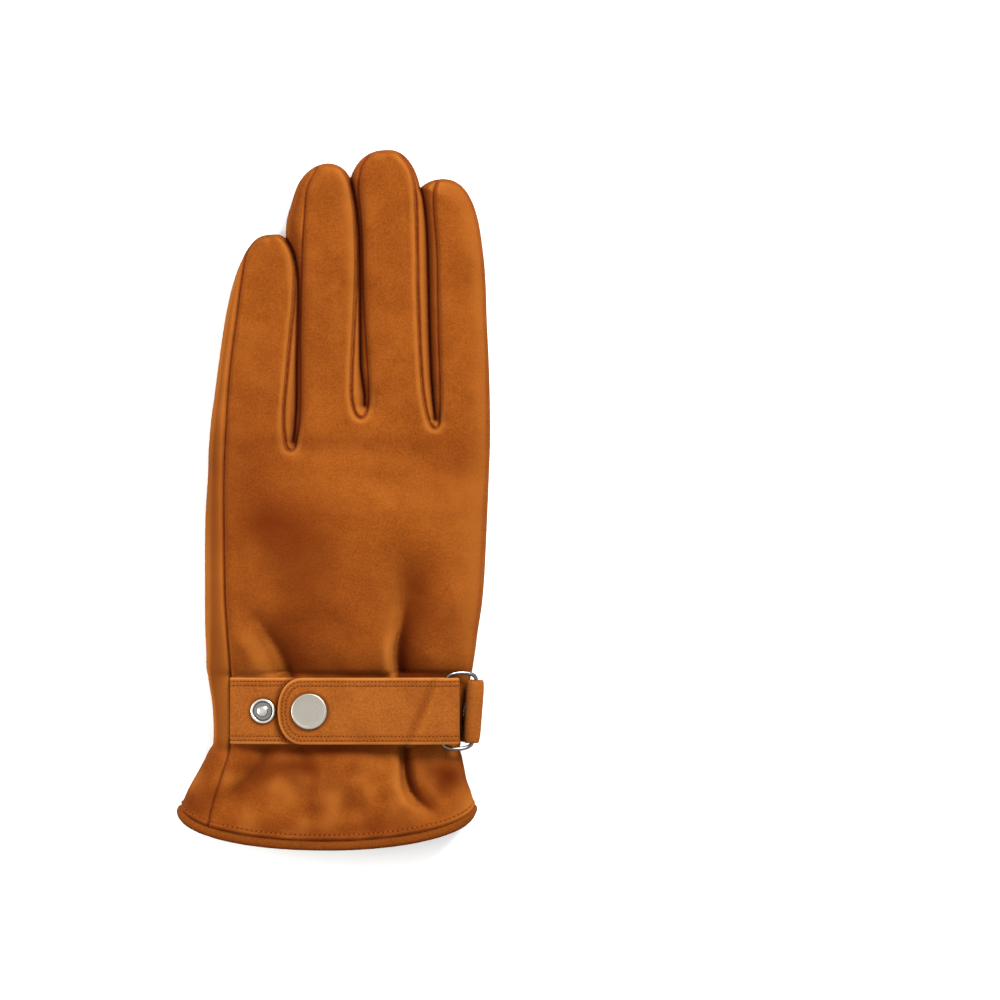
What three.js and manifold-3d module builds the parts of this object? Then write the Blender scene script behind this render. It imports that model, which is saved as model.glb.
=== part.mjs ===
// A man's suede dress glove for the left hand, lying empty on its palm with the back up.
// Millimetres. +Z is up, +Y runs along the fingers, +X points to the index finger's edge.
// The origin lies under the middle of the outline, on the surface that the glove rests on.
import * as THREE from 'three';
import { mergeVertices } from 'three/addons/utils/BufferGeometryUtils.js';
import Module from 'manifold-3d';

const wasm = await Module();
wasm.setup();

// Driving dimensions
const LEATHER = 1.4;
const GAP = 0.3;
const HAND_POWER = 2.6;
const FINGER_POWER = 2.6;
const UNDERSIDE_POWER = 6;
const TIP_ROUNDING = 8;
const HEM_Y = -112.6;
const BINDING_HEIGHT = 3.0;
const BINDING_WALL = 0.9;
const BINDING_ROOM = 0.4;
const EDGE_ROOM = 0.8;
const STRAP_WIDTH = 23.8;
const STRAP_THICKNESS = 1.6;
const STRAP_Y = -75.5;
const STRAP_START_X = -36.1;
const STRAP_END_X = -19.3;
const STRAP_ROUNDING = 8.6;
const STRAP_FOLD_X = 45.7;
const LAYER_GAP = 1.1;
const RING_WIRE = 1.4;
const RING_WIDTH = 12.2;
const RING_LENGTH = 28.8;
const RING_X = 45.6;
const RING_TILT = 16;
const RING_LEAN = 0.06;
const RING_ARC = 2.1;
const TAB_THICKNESS = 1.2;
const STUD_X = -24.7;
const CAP_X = -8;
const CAP_RADIUS = 6.45;
const CAP_HEIGHT = 1.2;
const STUD_RADIUS = 4.6;
const STUD_RIM = 0.8;
const POST_RADIUS = 2.0;
const POST_HEIGHT = 2.6;
const FOURCHETTE_LOW = 2.6;
const FOURCHETTE_HIGH = 12.2;

// Points round one cross-section of the hand, of a finger, and round the ring and the snaps
const HAND_TOP_STEPS = 21;
const HAND_UNDER_STEPS = 12;
const FINGER_TOP_STEPS = 7;
const FINGER_UNDER_STEPS = 5;
const ROUND_STEPS = 16;

function table(columns, rows) {
  return rows.map((row) => Object.fromEntries(columns.map((name, index) => [name, row[index]])));
}

// The hand and the cuff, from the hem to the roots of the fingers. sag is how far the middle of
// a row hangs out beyond its ends, leftEdge and rightEdge are the heights of its widest points.
const HAND = table(
  ['y', 'sag', 'left', 'right', 'leftEdge', 'rightEdge', 'crown', 'under'],
  [
    [-112.6, 12.9, -55.6, 51.0, 5.5, 7.5, 20.5, 1.3],
    [-109.0, 11.6, -54.2, 50.6, 5.5, 8.0, 20.5, 1.3],
    [-105.0, 9.8, -52.6, 49.7, 5.5, 8.5, 20.5, 0.5],
    [-100.8, 8.0, -50.4, 48.2, 6.0, 9.0, 20.8, 0.0],
    [-96.5, 6.0, -47.9, 47.3, 6.5, 9.0, 21.2, 0.0],
    [-92.2, 3.6, -45.7, 46.4, 7.0, 9.0, 21.0, 0.0],
    [-89.8, 1.8, -44.5, 45.7, 7.0, 9.0, 20.0, 0.0],
    [-87.7, 0.0, -42.9, 45.9, 7.0, 9.0, 18.2, 0.0],
    [-75.5, 0.0, -43.3, 47.2, 7.0, 9.0, 18.0, 0.0],
    [-63.3, 0.0, -45.1, 49.7, 7.0, 9.7, 18.2, 0.0],
    [-60.5, 0.0, -45.6, 50.3, 7.0, 10.2, 20.6, 0.0],
    [-54.0, 0.0, -45.7, 51.3, 7.0, 10.5, 22.8, 0.0],
    [-47.0, 0.0, -46.0, 52.2, 7.0, 10.5, 24.2, 0.0],
    [-38.0, 0.0, -46.1, 53.6, 7.0, 10.5, 25.2, 0.0],
    [-28.0, 0.0, -46.1, 54.5, 7.0, 10.2, 25.4, 0.0],
    [-16.0, 0.0, -46.1, 55.1, 7.0, 9.6, 25.0, 0.0],
    [-5.0, 0.0, -45.9, 55.6, 7.0, 9.0, 23.0, 0.0],
    [10.0, 0.0, -45.0, 56.2, 7.0, 7.5, 17.8, 0.0],
    [16.5, 0.0, -42.6, 53.6, 7.0, 7.0, 12.6, 1.4],
  ],
);

// Each finger from its root inside the hand to its tip. height is the crown over the surface.
const FINGERS = {
  little: table(
    ['y', 'left', 'right', 'height'],
    [
      [8.0, -44.9, -10.8, 15.6],
      [17.0, -44.5, -12.6, 15.2],
      [19.5, -44.3, -15.5, 15.0],
      [30.0, -43.9, -14.9, 14.6],
      [61.0, -39.4, -13.5, 13.8],
      [81.4, -34.7, -13.0, 13.2],
      [88.5, -31.9, -14.2, 13.0],
      [93.0, -28.8, -16.8, 13.0],
      [95.4, -24.0, -20.5, 13.0],
    ],
  ),
  ring: table(
    ['y', 'left', 'right', 'height'],
    [
      [8.0, -18.8, 15.2, 16.6],
      [17.0, -17.6, 14.4, 16.2],
      [19.5, -14.7, 13.8, 16.2],
      [28.4, -14.2, 11.6, 16.0],
      [31.5, -14.1, 9.7, 16.0],
      [61.0, -12.8, 9.4, 15.2],
      [81.4, -12.2, 9.5, 14.8],
      [88.5, -13.3, 9.5, 14.7],
      [96.0, -17.0, 9.4, 14.6],
      [106.9, -14.8, 8.3, 14.4],
      [114.2, -12.4, 6.7, 14.2],
      [118.8, -8.6, 4.2, 14.0],
      [121.0, -3.6, 0.4, 14.0],
    ],
  ),
  middle: table(
    ['y', 'left', 'right', 'height'],
    [
      [8.0, 4.2, 41.0, 17.0],
      [24.2, 7.4, 38.6, 16.6],
      [28.4, 8.5, 36.2, 16.4],
      [31.5, 10.4, 35.6, 16.4],
      [61.0, 10.1, 33.9, 15.6],
      [93.0, 10.2, 33.3, 15.0],
      [107.3, 8.9, 32.5, 14.8],
      [113.0, 7.6, 31.2, 14.6],
      [117.7, 6.8, 30.0, 14.6],
      [122.4, 8.8, 27.7, 14.4],
      [124.8, 13.0, 25.2, 14.4],
      [125.9, 17.0, 22.4, 14.4],
    ],
  ),
  index: table(
    ['y', 'left', 'right', 'height'],
    [
      [8.0, 30.4, 56.0, 16.4],
      [24.2, 35.0, 56.4, 16.0],
      [28.0, 37.0, 56.6, 15.8],
      [36.0, 35.7, 56.9, 15.6],
      [61.0, 34.7, 56.1, 15.2],
      [90.0, 34.1, 54.2, 14.4],
      [103.0, 33.6, 52.0, 14.1],
      [110.0, 32.5, 49.2, 14.0],
      [113.6, 33.2, 46.0, 14.0],
      [115.6, 38.4, 41.6, 14.0],
    ],
  ),
};

// The thumb lies folded under the palm. along is measured from its root on the thumb's axis.
const THUMB_ROOT = new THREE.Vector2(37, -48);
const THUMB_DIRECTION = new THREE.Vector2(-0.75, 0.66).normalize();
const THUMB = table(
  ['along', 'halfWidth', 'low', 'high'],
  [
    [0.0, 10.0, 15.4, 19.0],
    [8.0, 12.0, 8.0, 17.2],
    [16.0, 12.8, 1.6, 14.0],
    [24.0, 12.8, 0.0, 11.8],
    [40.0, 11.8, 0.0, 11.2],
    [52.0, 10.6, 0.0, 10.4],
    [58.0, 8.6, 0.8, 9.4],
    [61.6, 5.6, 2.6, 7.6],
    [63.2, 2.2, 4.4, 6.0],
  ],
);
const ARCH_FLAT = 16;
const ARCH_FOOT = 27;
const ARCH_OVER_THUMB = 0.7;

// The seam between back and palm on the little finger's side, and the height at which the two
// panels part: by the seam, over the middle of the hand and along the index finger's edge.
const PARTING = table(
  ['y', 'seam', 'seamZ', 'middleZ', 'foldZ'],
  [
    [-140.0, -48.0, 9.0, 9.0, 8.0],
    [-109.1, -43.0, 9.0, 9.0, 8.0],
    [-87.8, -36.7, 9.0, 9.0, 9.0],
    [-63.5, -36.4, 9.0, 9.0, 10.0],
    [-57.0, -37.0, 9.0, 13.5, 10.5],
    [-50.0, -37.5, 9.0, 16.5, 10.5],
    [-37.4, -38.2, 9.0, 17.0, 10.5],
    [-10.0, -38.8, 9.0, 16.5, 9.5],
    [7.2, -39.0, 7.0, 10.5, 7.5],
    [21.6, -38.5, 7.0, 7.5, 7.0],
    [43.9, -37.2, 7.0, 7.0, 7.0],
    [61.2, -35.1, 7.0, 7.0, 7.0],
    [86.0, -31.7, 7.0, 7.0, 7.0],
    [91.4, -29.9, 7.0, 7.0, 7.0],
    [96.0, -26.0, 7.0, 7.0, 7.0],
    [140.0, -26.0, 7.0, 7.0, 7.0],
  ],
);

// Where neighbouring fingers part: the crotch, and the ends of the strip sewn between them
const NOTCHES = [
  { name: 'fourchette_little_ring', crotch: [-15.1, 18.4], left: [-18.5, 93.0], right: [-8.0, 118.5] },
  { name: 'fourchette_ring_middle', crotch: [10.1, 30.2], left: [4.0, 117.5], right: [11.5, 123.5] },
  { name: 'fourchette_middle_index', crotch: [37.0, 26.6], left: [27.0, 123.6], right: [36.0, 114.6] },
];

// Folds and dents of the back: a line from one end to the other, how wide and how deep (or,
// with a negative depth, how high) the leather is pushed along it.
const FOLDS = table(
  ['fromX', 'fromY', 'toX', 'toY', 'width', 'depth'],
  [
    [-20.0, -5.0, -6.0, -14.0, 9.0, 1.4],
    [27.0, -30.0, 30.0, -33.0, 9.0, 1.8],
    [38.0, -20.0, 41.0, -24.0, 9.0, 1.2],
    [-23.0, -45.0, -13.0, -62.0, 4.5, 2.4],
    [-31.0, -50.0, -27.0, -62.0, 4.0, -1.2],
    [23.0, -48.0, 26.0, -63.0, 4.5, 4.2],
    [12.0, -50.0, 15.0, -62.0, 5.0, -1.4],
    [36.0, -50.0, 38.0, -62.0, 5.0, -1.0],
    [25.0, -90.0, 29.0, -104.0, 4.0, 4.2],
    [29.0, -104.0, 37.0, -111.0, 3.6, 2.6],
    [37.0, -92.0, 41.0, -100.0, 4.5, -1.2],
    [-26.0, -92.0, -33.0, -104.0, 4.5, 2.6],
    [-8.0, -93.0, -10.0, -106.0, 6.0, 1.2],
    [4.0, -96.0, 4.0, -112.0, 6.0, -1.0],
    [16.0, -94.0, 15.0, -108.0, 5.0, -1.4],
  ],
);

function smoothstep(low, high, value) {
  const share = THREE.MathUtils.clamp((value - low) / (high - low), 0, 1);
  return share * share * (3 - 2 * share);
}

// One row of a table at any value of its first column, between the rows on either side.
function rowAt(rows, key, value) {
  const rising = rows[0][key] < rows[rows.length - 1][key];
  const ordered = rising ? rows : [...rows].reverse();
  let upper = ordered.findIndex((row) => row[key] > value);
  if (upper < 1) upper = upper === 0 ? 1 : ordered.length - 1;
  const [before, after] = [ordered[upper - 1], ordered[upper]];
  const share = (value - before[key]) / (after[key] - before[key]);
  const blend = (name) => THREE.MathUtils.lerp(before[name], after[name], share);
  return Object.fromEntries(Object.keys(before).map((name) => [name, blend(name)]));
}

function distanceToLine(x, y, fromX, fromY, toX, toY) {
  const [runX, runY] = [toX - fromX, toY - fromY];
  const along = ((x - fromX) * runX + (y - fromY) * runY) / (runX * runX + runY * runY);
  const share = THREE.MathUtils.clamp(along, 0, 1);
  return Math.hypot(x - fromX - share * runX, y - fromY - share * runY);
}

// The strap presses the leather smooth, so the folds stop at its edges
function relief(x, y) {
  const fromStrap = Math.abs(y - STRAP_Y) - STRAP_WIDTH / 2;
  const free = smoothstep(-0.5, 2.5, fromStrap);
  return FOLDS.reduce((sum, fold) => {
    const away = distanceToLine(x, y, fold.fromX, fold.fromY, fold.toX, fold.toY);
    return sum - free * fold.depth * Math.exp(-((away / fold.width) ** 2));
  }, 0);
}

// How far the thumb lifts the palm at a place
function archOver(x, y) {
  const [near, far] = [12, 53];
  const from = THUMB_ROOT.clone().addScaledVector(THUMB_DIRECTION, near);
  const to = THUMB_ROOT.clone().addScaledVector(THUMB_DIRECTION, far);
  const away = distanceToLine(x, y, from.x, from.y, to.x, to.y);
  const along = new THREE.Vector2(x, y).sub(THUMB_ROOT).dot(THUMB_DIRECTION);
  const thumbTop = rowAt(THUMB, 'along', THREE.MathUtils.clamp(along, 24, far)).high;
  return (thumbTop + ARCH_OVER_THUMB) * (1 - smoothstep(ARCH_FLAT, ARCH_FOOT, away));
}

// Share of the half-width at each point round a section: from the right edge over the top to
// the left edge, then back along the underside.
function roundShares(topSteps, underSteps) {
  const spread = (step, steps) => {
    const even = 1 - (2 * step) / steps;
    return (even + Math.cos((Math.PI * step) / steps)) / 2;
  };
  const top = Array.from({ length: topSteps }, (_, step) => ({ t: spread(step, topSteps), top: true }));
  const under = Array.from({ length: underSteps }, (_, step) => ({
    t: -spread(step, underSteps),
    top: false,
  }));
  return [...top, ...under];
}

function archProfile(t, power) {
  return (1 - Math.abs(t) ** power) ** (1 / power);
}

// Height of the hand's outer skin at a share of its half-width
function handHeight(row, t, top, x, y) {
  const edge = THREE.MathUtils.lerp(row.leftEdge, row.rightEdge, (t + 1) / 2);
  if (top) {
    const rise = archProfile(t, HAND_POWER);
    return edge + (row.crown - edge) * rise + relief(x, y) * rise;
  }
  const low = edge - (edge - row.under) * archProfile(t, UNDERSIDE_POWER);
  return Math.max(low, archOver(x, y));
}

function handSection(y) {
  const row = rowAt(HAND, 'y', y);
  const middle = (row.left + row.right) / 2;
  const half = (row.right - row.left) / 2;
  return roundShares(HAND_TOP_STEPS, HAND_UNDER_STEPS).map(({ t, top }) => {
    const x = middle + half * t;
    const hang = row.sag * Math.sqrt(Math.max(0, 1 - t * t)) * (top ? 1 : 0.35);
    const placeY = y - hang;
    return new THREE.Vector3(x, placeY, handHeight(row, t, top, x, placeY));
  });
}

function handTopAt(x, y) {
  const row = rowAt(HAND, 'y', y);
  const t = (2 * x - row.left - row.right) / (row.right - row.left);
  return handHeight(row, THREE.MathUtils.clamp(t, -1, 1), true, x, y);
}

function fingerSection(rows, row, inset) {
  const tipY = rows[rows.length - 1].y + 0.4 - inset;
  const reach = THREE.MathUtils.clamp((tipY - row.y) / TIP_ROUNDING, 0.02, 1);
  const fullness = Math.sqrt(1 - (1 - reach) ** 2);
  const middleZ = row.height * 0.46;
  const middle = (row.left + row.right) / 2;
  const half = (row.right - row.left) / 2;
  return roundShares(FINGER_TOP_STEPS, FINGER_UNDER_STEPS).map(({ t, top }) => {
    const x = middle + half * t;
    const rise = archProfile(t, top ? FINGER_POWER : UNDERSIDE_POWER / 1.5) * fullness;
    const low = Math.max(middleZ * (1 - rise), Math.min(middleZ, archOver(x, row.y)));
    return new THREE.Vector3(x, row.y, top ? middleZ + (row.height - middleZ) * rise : low);
  });
}

function thumbSection(row, spread) {
  const across = new THREE.Vector2(-THUMB_DIRECTION.y, THUMB_DIRECTION.x).negate();
  const centre = THUMB_ROOT.clone().addScaledVector(THUMB_DIRECTION, row.along);
  const middleZ = (row.low + row.high) / 2;
  return roundShares(FINGER_TOP_STEPS, FINGER_UNDER_STEPS).map(({ t, top }) => {
    const place = centre.clone().addScaledVector(across, t * (row.halfWidth + spread));
    const rise = archProfile(t, top ? FINGER_POWER : UNDERSIDE_POWER / 1.5);
    const half = (row.high - row.low) / 2 + spread;
    return new THREE.Vector3(place.x, place.y, middleZ + (top ? half : -half) * rise);
  });
}

// A section drawn in by a distance, square to its own outline seen from the hem
function drawnIn(section, distance) {
  return section.map((point, index) => {
    const before = section[(index + section.length - 1) % section.length];
    const after = section[(index + 1) % section.length];
    const inward = new THREE.Vector2(before.z - after.z, after.x - before.x).normalize();
    const place = point.clone();
    place.x += inward.x * distance;
    place.z += inward.y * distance;
    return place;
  });
}

function toSolid(geometry) {
  const bare = geometry.clone();
  bare.deleteAttribute('normal');
  bare.deleteAttribute('uv');
  const merged = mergeVertices(bare, 1e-4);
  const vertProperties = new Float32Array(merged.attributes.position.array);
  const triVerts = new Uint32Array(merged.index.array);
  return new wasm.Manifold(new wasm.Mesh({ numProp: 3, vertProperties, triVerts }));
}

// A closed solid through sections of equal point counts. A looped loft joins its last section
// to its first, any other has its ends filled.
function loft(sections, looped = false) {
  const count = sections[0].length;
  const points = sections.flat();
  const faces = [];
  const bands = looped ? sections.length : sections.length - 1;
  for (let band = 0; band < bands; band += 1) {
    const near = band * count;
    const far = ((band + 1) % sections.length) * count;
    for (let index = 0; index < count; index += 1) {
      const next = (index + 1) % count;
      faces.push(near + index, near + next, far + next, near + index, far + next, far + index);
    }
  }
  if (!looped) {
    for (const [start, flip] of [[0, true], [(sections.length - 1) * count, false]]) {
      const outline = points.slice(start, start + count);
      const centre = outline.reduce((sum, p) => sum.add(p), new THREE.Vector3()).divideScalar(count);
      points.push(centre);
      for (let index = 0; index < count; index += 1) {
        const [from, to] = [start + index, start + ((index + 1) % count)];
        faces.push(points.length - 1, flip ? to : from, flip ? from : to);
      }
    }
  }
  const geometry = new THREE.BufferGeometry().setFromPoints(points);
  geometry.setIndex(faces);
  const solid = toSolid(geometry);
  if (solid.volume() > 0) return solid;
  geometry.setIndex([...faces].reverse());
  return toSolid(geometry);
}

// An outline in the plan, as a solid between two heights
function slab(outline, low, high) {
  const shape = new THREE.Shape(outline.map(([x, y]) => new THREE.Vector2(x, y)));
  const geometry = new THREE.ExtrudeGeometry(shape, { depth: high - low, bevelEnabled: false });
  return toSolid(geometry.translate(0, 0, low));
}

// A turned solid about the Z axis, from [radius, height] pairs
function turned(profile) {
  const points = profile.map(([radius, height]) => new THREE.Vector2(radius, height));
  return toSolid(new THREE.LatheGeometry(points, ROUND_STEPS).rotateX(Math.PI / 2));
}

// A strip of leather that follows a path in the XZ plane. Each station gives the place of the
// strip's two long edges, so the strip may taper or lean.
function strip(stations, thickness) {
  const sections = stations.map((station, index) => {
    const before = stations[Math.max(0, index - 1)];
    const after = stations[Math.min(stations.length - 1, index + 1)];
    const sides = ['far', 'near'].map((edge) => {
      const run = new THREE.Vector2(after[edge].x - before[edge].x, after[edge].z - before[edge].z);
      run.normalize().multiplyScalar(thickness / 2);
      const place = station[edge];
      return [
        new THREE.Vector3(place.x - run.y, place.y, place.z + run.x),
        new THREE.Vector3(place.x + run.y, place.y, place.z - run.x),
      ];
    });
    return [sides[0][0], sides[0][1], sides[1][1], sides[1][0]];
  });
  return loft(sections);
}

// The whole leather form, outside and inside
function handForms() {
  const rows = HAND.map((row) => row.y);
  const outside = rows.map((y) => handSection(y));
  outside[0] = handSection(HEM_Y + BINDING_WALL + EDGE_ROOM);
  const inside = rows.map((y) => drawnIn(handSection(y), LEATHER));
  const beyondHem = inside[0].map((point) => point.clone().add(new THREE.Vector3(0, -6, 0)));
  return { outer: loft(outside), inner: loft([beyondHem, ...inside]) };
}

function fingerForms(rows) {
  const inset = LEATHER;
  const outer = loft(rows.map((row) => fingerSection(rows, row, 0)));
  const innerRows = rows.slice(0, -1).map((row) => drawnIn(fingerSection(rows, row, 0), inset));
  const last = rows[rows.length - 1];
  const tip = fingerSection(rows, { ...last, y: last.y - inset - 0.2 }, inset);
  const keep = innerRows.filter((section) => section[0].y < last.y - inset - 0.6);
  return { outer, inner: loft([...keep, drawnIn(tip, 0.4)]) };
}

function thumbForms() {
  const outer = (spread) => loft(THUMB.map((row) => thumbSection(row, spread)));
  const innerRows = THUMB.slice(0, -1).map((row) => thumbSection(row, -LEATHER));
  return { outer: outer(0), cutter: outer(1.5 * GAP), inner: loft(innerRows) };
}

function partingCutter(clearance) {
  const [farRight, ceiling, middleLeft, middleRight] = [75, 60, -22, 38];
  return loft(
    PARTING.map((row) => {
      const outline = [
        [row.seam + clearance, row.seamZ + clearance],
        [middleLeft, row.middleZ + clearance],
        [middleRight, row.middleZ + clearance],
        [farRight - 24, row.foldZ + clearance],
        [farRight, row.foldZ + clearance],
        [farRight, ceiling],
        [row.seam + clearance, ceiling],
      ];
      return outline.map(([x, z]) => new THREE.Vector3(x, row.y, z));
    }),
  );
}

// An outline in the plan, listed anticlockwise, with every side moved outwards
function grown(outline, distance) {
  const corner = (index) => new THREE.Vector2(...outline[(index + outline.length) % outline.length]);
  return outline.map((_, index) => {
    const into = corner(index).sub(corner(index - 1)).normalize();
    const out = corner(index + 1).sub(corner(index)).normalize();
    const miter = new THREE.Vector2(into.y + out.y, -into.x - out.x).normalize();
    const reach = distance / Math.max(0.4, miter.dot(new THREE.Vector2(into.y, -into.x)));
    return corner(index).addScaledVector(miter, reach).toArray();
  });
}

function notchCutter(notch, clearance) {
  const [crotchX, crotchY] = notch.crotch;
  const [insideFinger, belowCrotch, shortOfTip] = [6.5, 4, 8];
  const outline = [
    notch.left,
    [crotchX - insideFinger, notch.left[1] - shortOfTip],
    [crotchX - insideFinger, crotchY + 2],
    [crotchX - 3, crotchY - belowCrotch],
    [crotchX + 3, crotchY - belowCrotch],
    [crotchX + insideFinger, crotchY + 2],
    [crotchX + insideFinger, notch.right[1] - shortOfTip],
    notch.right,
    [(notch.left[0] + notch.right[0]) / 2, Math.max(notch.left[1], notch.right[1]) + 6],
  ];
  return slab(grown(outline, clearance), FOURCHETTE_LOW - clearance, FOURCHETTE_HIGH + clearance);
}

// The binding is a channel folded round the hem, with the leather's edge inside it
function cuffBinding() {
  const hang = (rise) => handSection(HEM_Y + rise);
  const levels = { low: hang(0), web: hang(BINDING_WALL), high: hang(BINDING_HEIGHT) };
  const outward = BINDING_WALL + BINDING_ROOM;
  const profile = [
    ['low', -0.5],
    ['web', -outward],
    ['high', -outward],
    ['high', -BINDING_ROOM],
    ['web', -BINDING_ROOM],
    ['web', LEATHER + BINDING_ROOM],
    ['high', LEATHER + BINDING_ROOM],
    ['high', LEATHER + outward],
    ['web', LEATHER + outward],
    ['low', LEATHER + 0.5],
  ];
  const lines = profile.map(([level, distance]) => drawnIn(levels[level], distance));
  const sections = lines[0].map((_, index) => lines.map((line) => line[index]));
  return loft(sections, true);
}

// Height of the strap's bed: the highest leather across the strap's width
function strapBed(x) {
  const half = STRAP_WIDTH / 2;
  const rows = [-half, -half / 2, 0, half / 2, half].map((step) => handTopAt(x, STRAP_Y + step));
  return Math.max(...rows) + GAP;
}

const barX = RING_X - RING_WIDTH / 2 + RING_WIRE / 2;
const foldRadius = RING_WIRE / 2 + GAP + STRAP_THICKNESS / 2 + 0.1;
const strapMiddle = (x) => strapBed(Math.min(x, barX - 2.5)) + STRAP_THICKNESS / 2;

function layerRise(x) {
  const snug = STRAP_THICKNESS + LAYER_GAP;
  return THREE.MathUtils.lerp(snug, foldRadius * 2, smoothstep(CAP_X + 12, barX - 3, x));
}

function strapPath() {
  const path = [];
  const straightSteps = 13;
  const foldCentreX = STRAP_FOLD_X - STRAP_THICKNESS / 2 - foldRadius;
  const half = STRAP_WIDTH / 2;
  for (let step = 0; step <= straightSteps; step += 1) {
    const x = THREE.MathUtils.lerp(STRAP_START_X, foldCentreX, step / straightSteps);
    path.push({ x, z: strapMiddle(x), half });
  }
  const foldZ = strapMiddle(foldCentreX) + foldRadius;
  for (let step = 1; step < 6; step += 1) {
    const angle = -Math.PI / 2 + (Math.PI * step) / 6;
    const [x, z] = [foldCentreX + foldRadius * Math.cos(angle), foldZ + foldRadius * Math.sin(angle)];
    path.push({ x, z, half });
  }
  for (let step = 0; step <= 8; step += 1) {
    const x = THREE.MathUtils.lerp(foldCentreX, STRAP_END_X + STRAP_ROUNDING, step / 8);
    path.push({ x, z: strapMiddle(x) + layerRise(x), half });
  }
  for (let step = 1; step <= 6; step += 1) {
    const angle = ((Math.PI / 2) * step) / 6;
    const x = STRAP_END_X + STRAP_ROUNDING * (1 - Math.sin(angle));
    path.push({ x, z: strapMiddle(x) + layerRise(x), half: Math.max(1, half * Math.cos(angle)) });
  }
  return path;
}

function strapSolid(holes) {
  const stations = strapPath().map(({ x, z, half }) => ({
    far: { x, y: STRAP_Y + half, z },
    near: { x, y: STRAP_Y - half, z },
  }));
  return holes.reduce((solid, hole) => solid.subtract(hole), strip(stations, STRAP_THICKNESS));
}

function ringHeight(x) {
  const start = strapMiddle(barX) + foldRadius;
  return start - (x - barX) * Math.tan(THREE.MathUtils.degToRad(RING_TILT));
}

// The oval ring: two straight bars joined by half-ellipses
function ringSolid() {
  const [halfX, halfY] = [(RING_WIDTH - RING_WIRE) / 2, (RING_LENGTH - RING_WIRE) / 2];
  const straight = halfY - RING_ARC;
  const points = [];
  for (let step = 0; step < 24; step += 1) {
    const angle = (2 * Math.PI * (step + 0.5)) / 24;
    const x = RING_X + halfX * Math.cos(angle);
    const out = Math.sign(Math.sin(angle)) * straight + RING_ARC * Math.sin(angle);
    points.push(new THREE.Vector3(x + RING_LEAN * out, STRAP_Y + out, ringHeight(x)));
  }
  const path = new THREE.CatmullRomCurve3(points, true);
  const wire = new THREE.Shape();
  wire.absarc(0, 0, RING_WIRE / 2, 0, 2 * Math.PI, false);
  const options = { steps: 30, curveSegments: 3, bevelEnabled: false, extrudePath: path };
  return toSolid(new THREE.ExtrudeGeometry(wire, options));
}

// The tab goes up the glove's side, over the ring's outer bar and back down inside itself. Places
// are from that bar, and seated is the share of the way in to the glove's side.
function tabSolid() {
  const outerBarX = RING_X + RING_WIDTH / 2 - RING_WIRE / 2;
  const barZ = ringHeight(outerBarX);
  const reach = RING_WIRE / 2 + GAP + TAB_THICKNESS / 2;
  const loop = table(
    ['x', 'z', 'seated'],
    [
      [0.6, 4.4 - barZ, 1.0],
      [1.4, 8.0 - barZ, 1.0],
      [1.7, 11.0 - barZ, 0.6],
      [2.5, -2.2, 0.1],
      [2.3, -0.4, 0.0],
      [1.6, reach - 0.3, 0.0],
      [0.3, reach, 0.0],
      [-1.6, reach, 0.0],
      [-2.9, 0.9, 0.0],
      [-3.2, -0.2, 0.0],
      [-2.6, -1.2, 0.0],
      [-1.0, -reach - 0.3, 0.0],
      [0.2, -reach - 1.6, 0.2],
      [0.0, 11.0 - barZ, 0.6],
      [-0.2, 8.4 - barZ, 1.0],
      [-0.9, 5.4 - barZ, 1.0],
    ],
  );
  const edge = (out, squeeze, seat) => ({ x, z, seated }) => ({
    x: outerBarX + out * RING_LEAN + x * squeeze + 0.1 - seated * seat,
    y: STRAP_Y + out,
    z: barZ + z,
  });
  const [farEdge, nearEdge] = [edge(10.9, 0.95, 1.3), edge(-11.6, 0.84, 3.55)];
  const stations = loop.map((place) => ({ far: farEdge(place), near: nearEdge(place) }));
  return strip(stations, TAB_THICKNESS);
}

function slopeAt(x) {
  return Math.atan2(strapMiddle(x + 3) - strapMiddle(x - 3), 6);
}

// Moves a turned piece onto the strap, square to it. Its zero height is the lower layer's top.
function onStrap(solid, x) {
  const middle = strapMiddle(x);
  const tilt = -THREE.MathUtils.radToDeg(slopeAt(x));
  return solid.rotate([0, tilt, 0]).translate([x, STRAP_Y, middle + STRAP_THICKNESS / 2]);
}

function studSolid() {
  const shank = 1.3;
  return turned([
    [0, -STRAP_THICKNESS],
    [shank, -STRAP_THICKNESS],
    [shank, GAP],
    [STUD_RADIUS - 0.3, GAP],
    [STUD_RADIUS, GAP + 0.2],
    [STUD_RADIUS - 0.3, STUD_RIM],
    [STUD_RADIUS - 1.1, STUD_RIM],
    [STUD_RADIUS - 1.6, GAP + 0.2],
    [POST_RADIUS * 0.8, GAP + 0.2],
    [POST_RADIUS, POST_HEIGHT * 0.7],
    [POST_RADIUS * 0.75, POST_HEIGHT],
    [0, POST_HEIGHT],
  ]);
}

function capSolid() {
  const under = STRAP_THICKNESS + LAYER_GAP + GAP;
  const [bore, shank] = [POST_RADIUS + 0.4, POST_RADIUS + 1.1];
  return turned([
    [0, POST_HEIGHT + GAP],
    [bore, POST_HEIGHT + GAP],
    [bore, STUD_RIM + GAP],
    [shank, STUD_RIM + GAP],
    [shank, under],
    [CAP_RADIUS - 0.2, under],
    [CAP_RADIUS, under + 0.25],
    [CAP_RADIUS, under + CAP_HEIGHT - 0.35],
    [CAP_RADIUS - 0.35, under + CAP_HEIGHT],
    [0, under + CAP_HEIGHT],
  ]);
}

function holeCutter(radius, low, high) {
  return turned([[0, low], [radius, low], [radius, high], [0, high]]);
}

const suede = { color: 0xac6228, roughness: 0.95, metalness: 0 };
const darkSuede = { color: 0x8f4c1c, roughness: 0.95, metalness: 0 };
const steel = { color: 0xc9c6bf, roughness: 0.28, metalness: 1 };

const glove = new THREE.Group();

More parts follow.
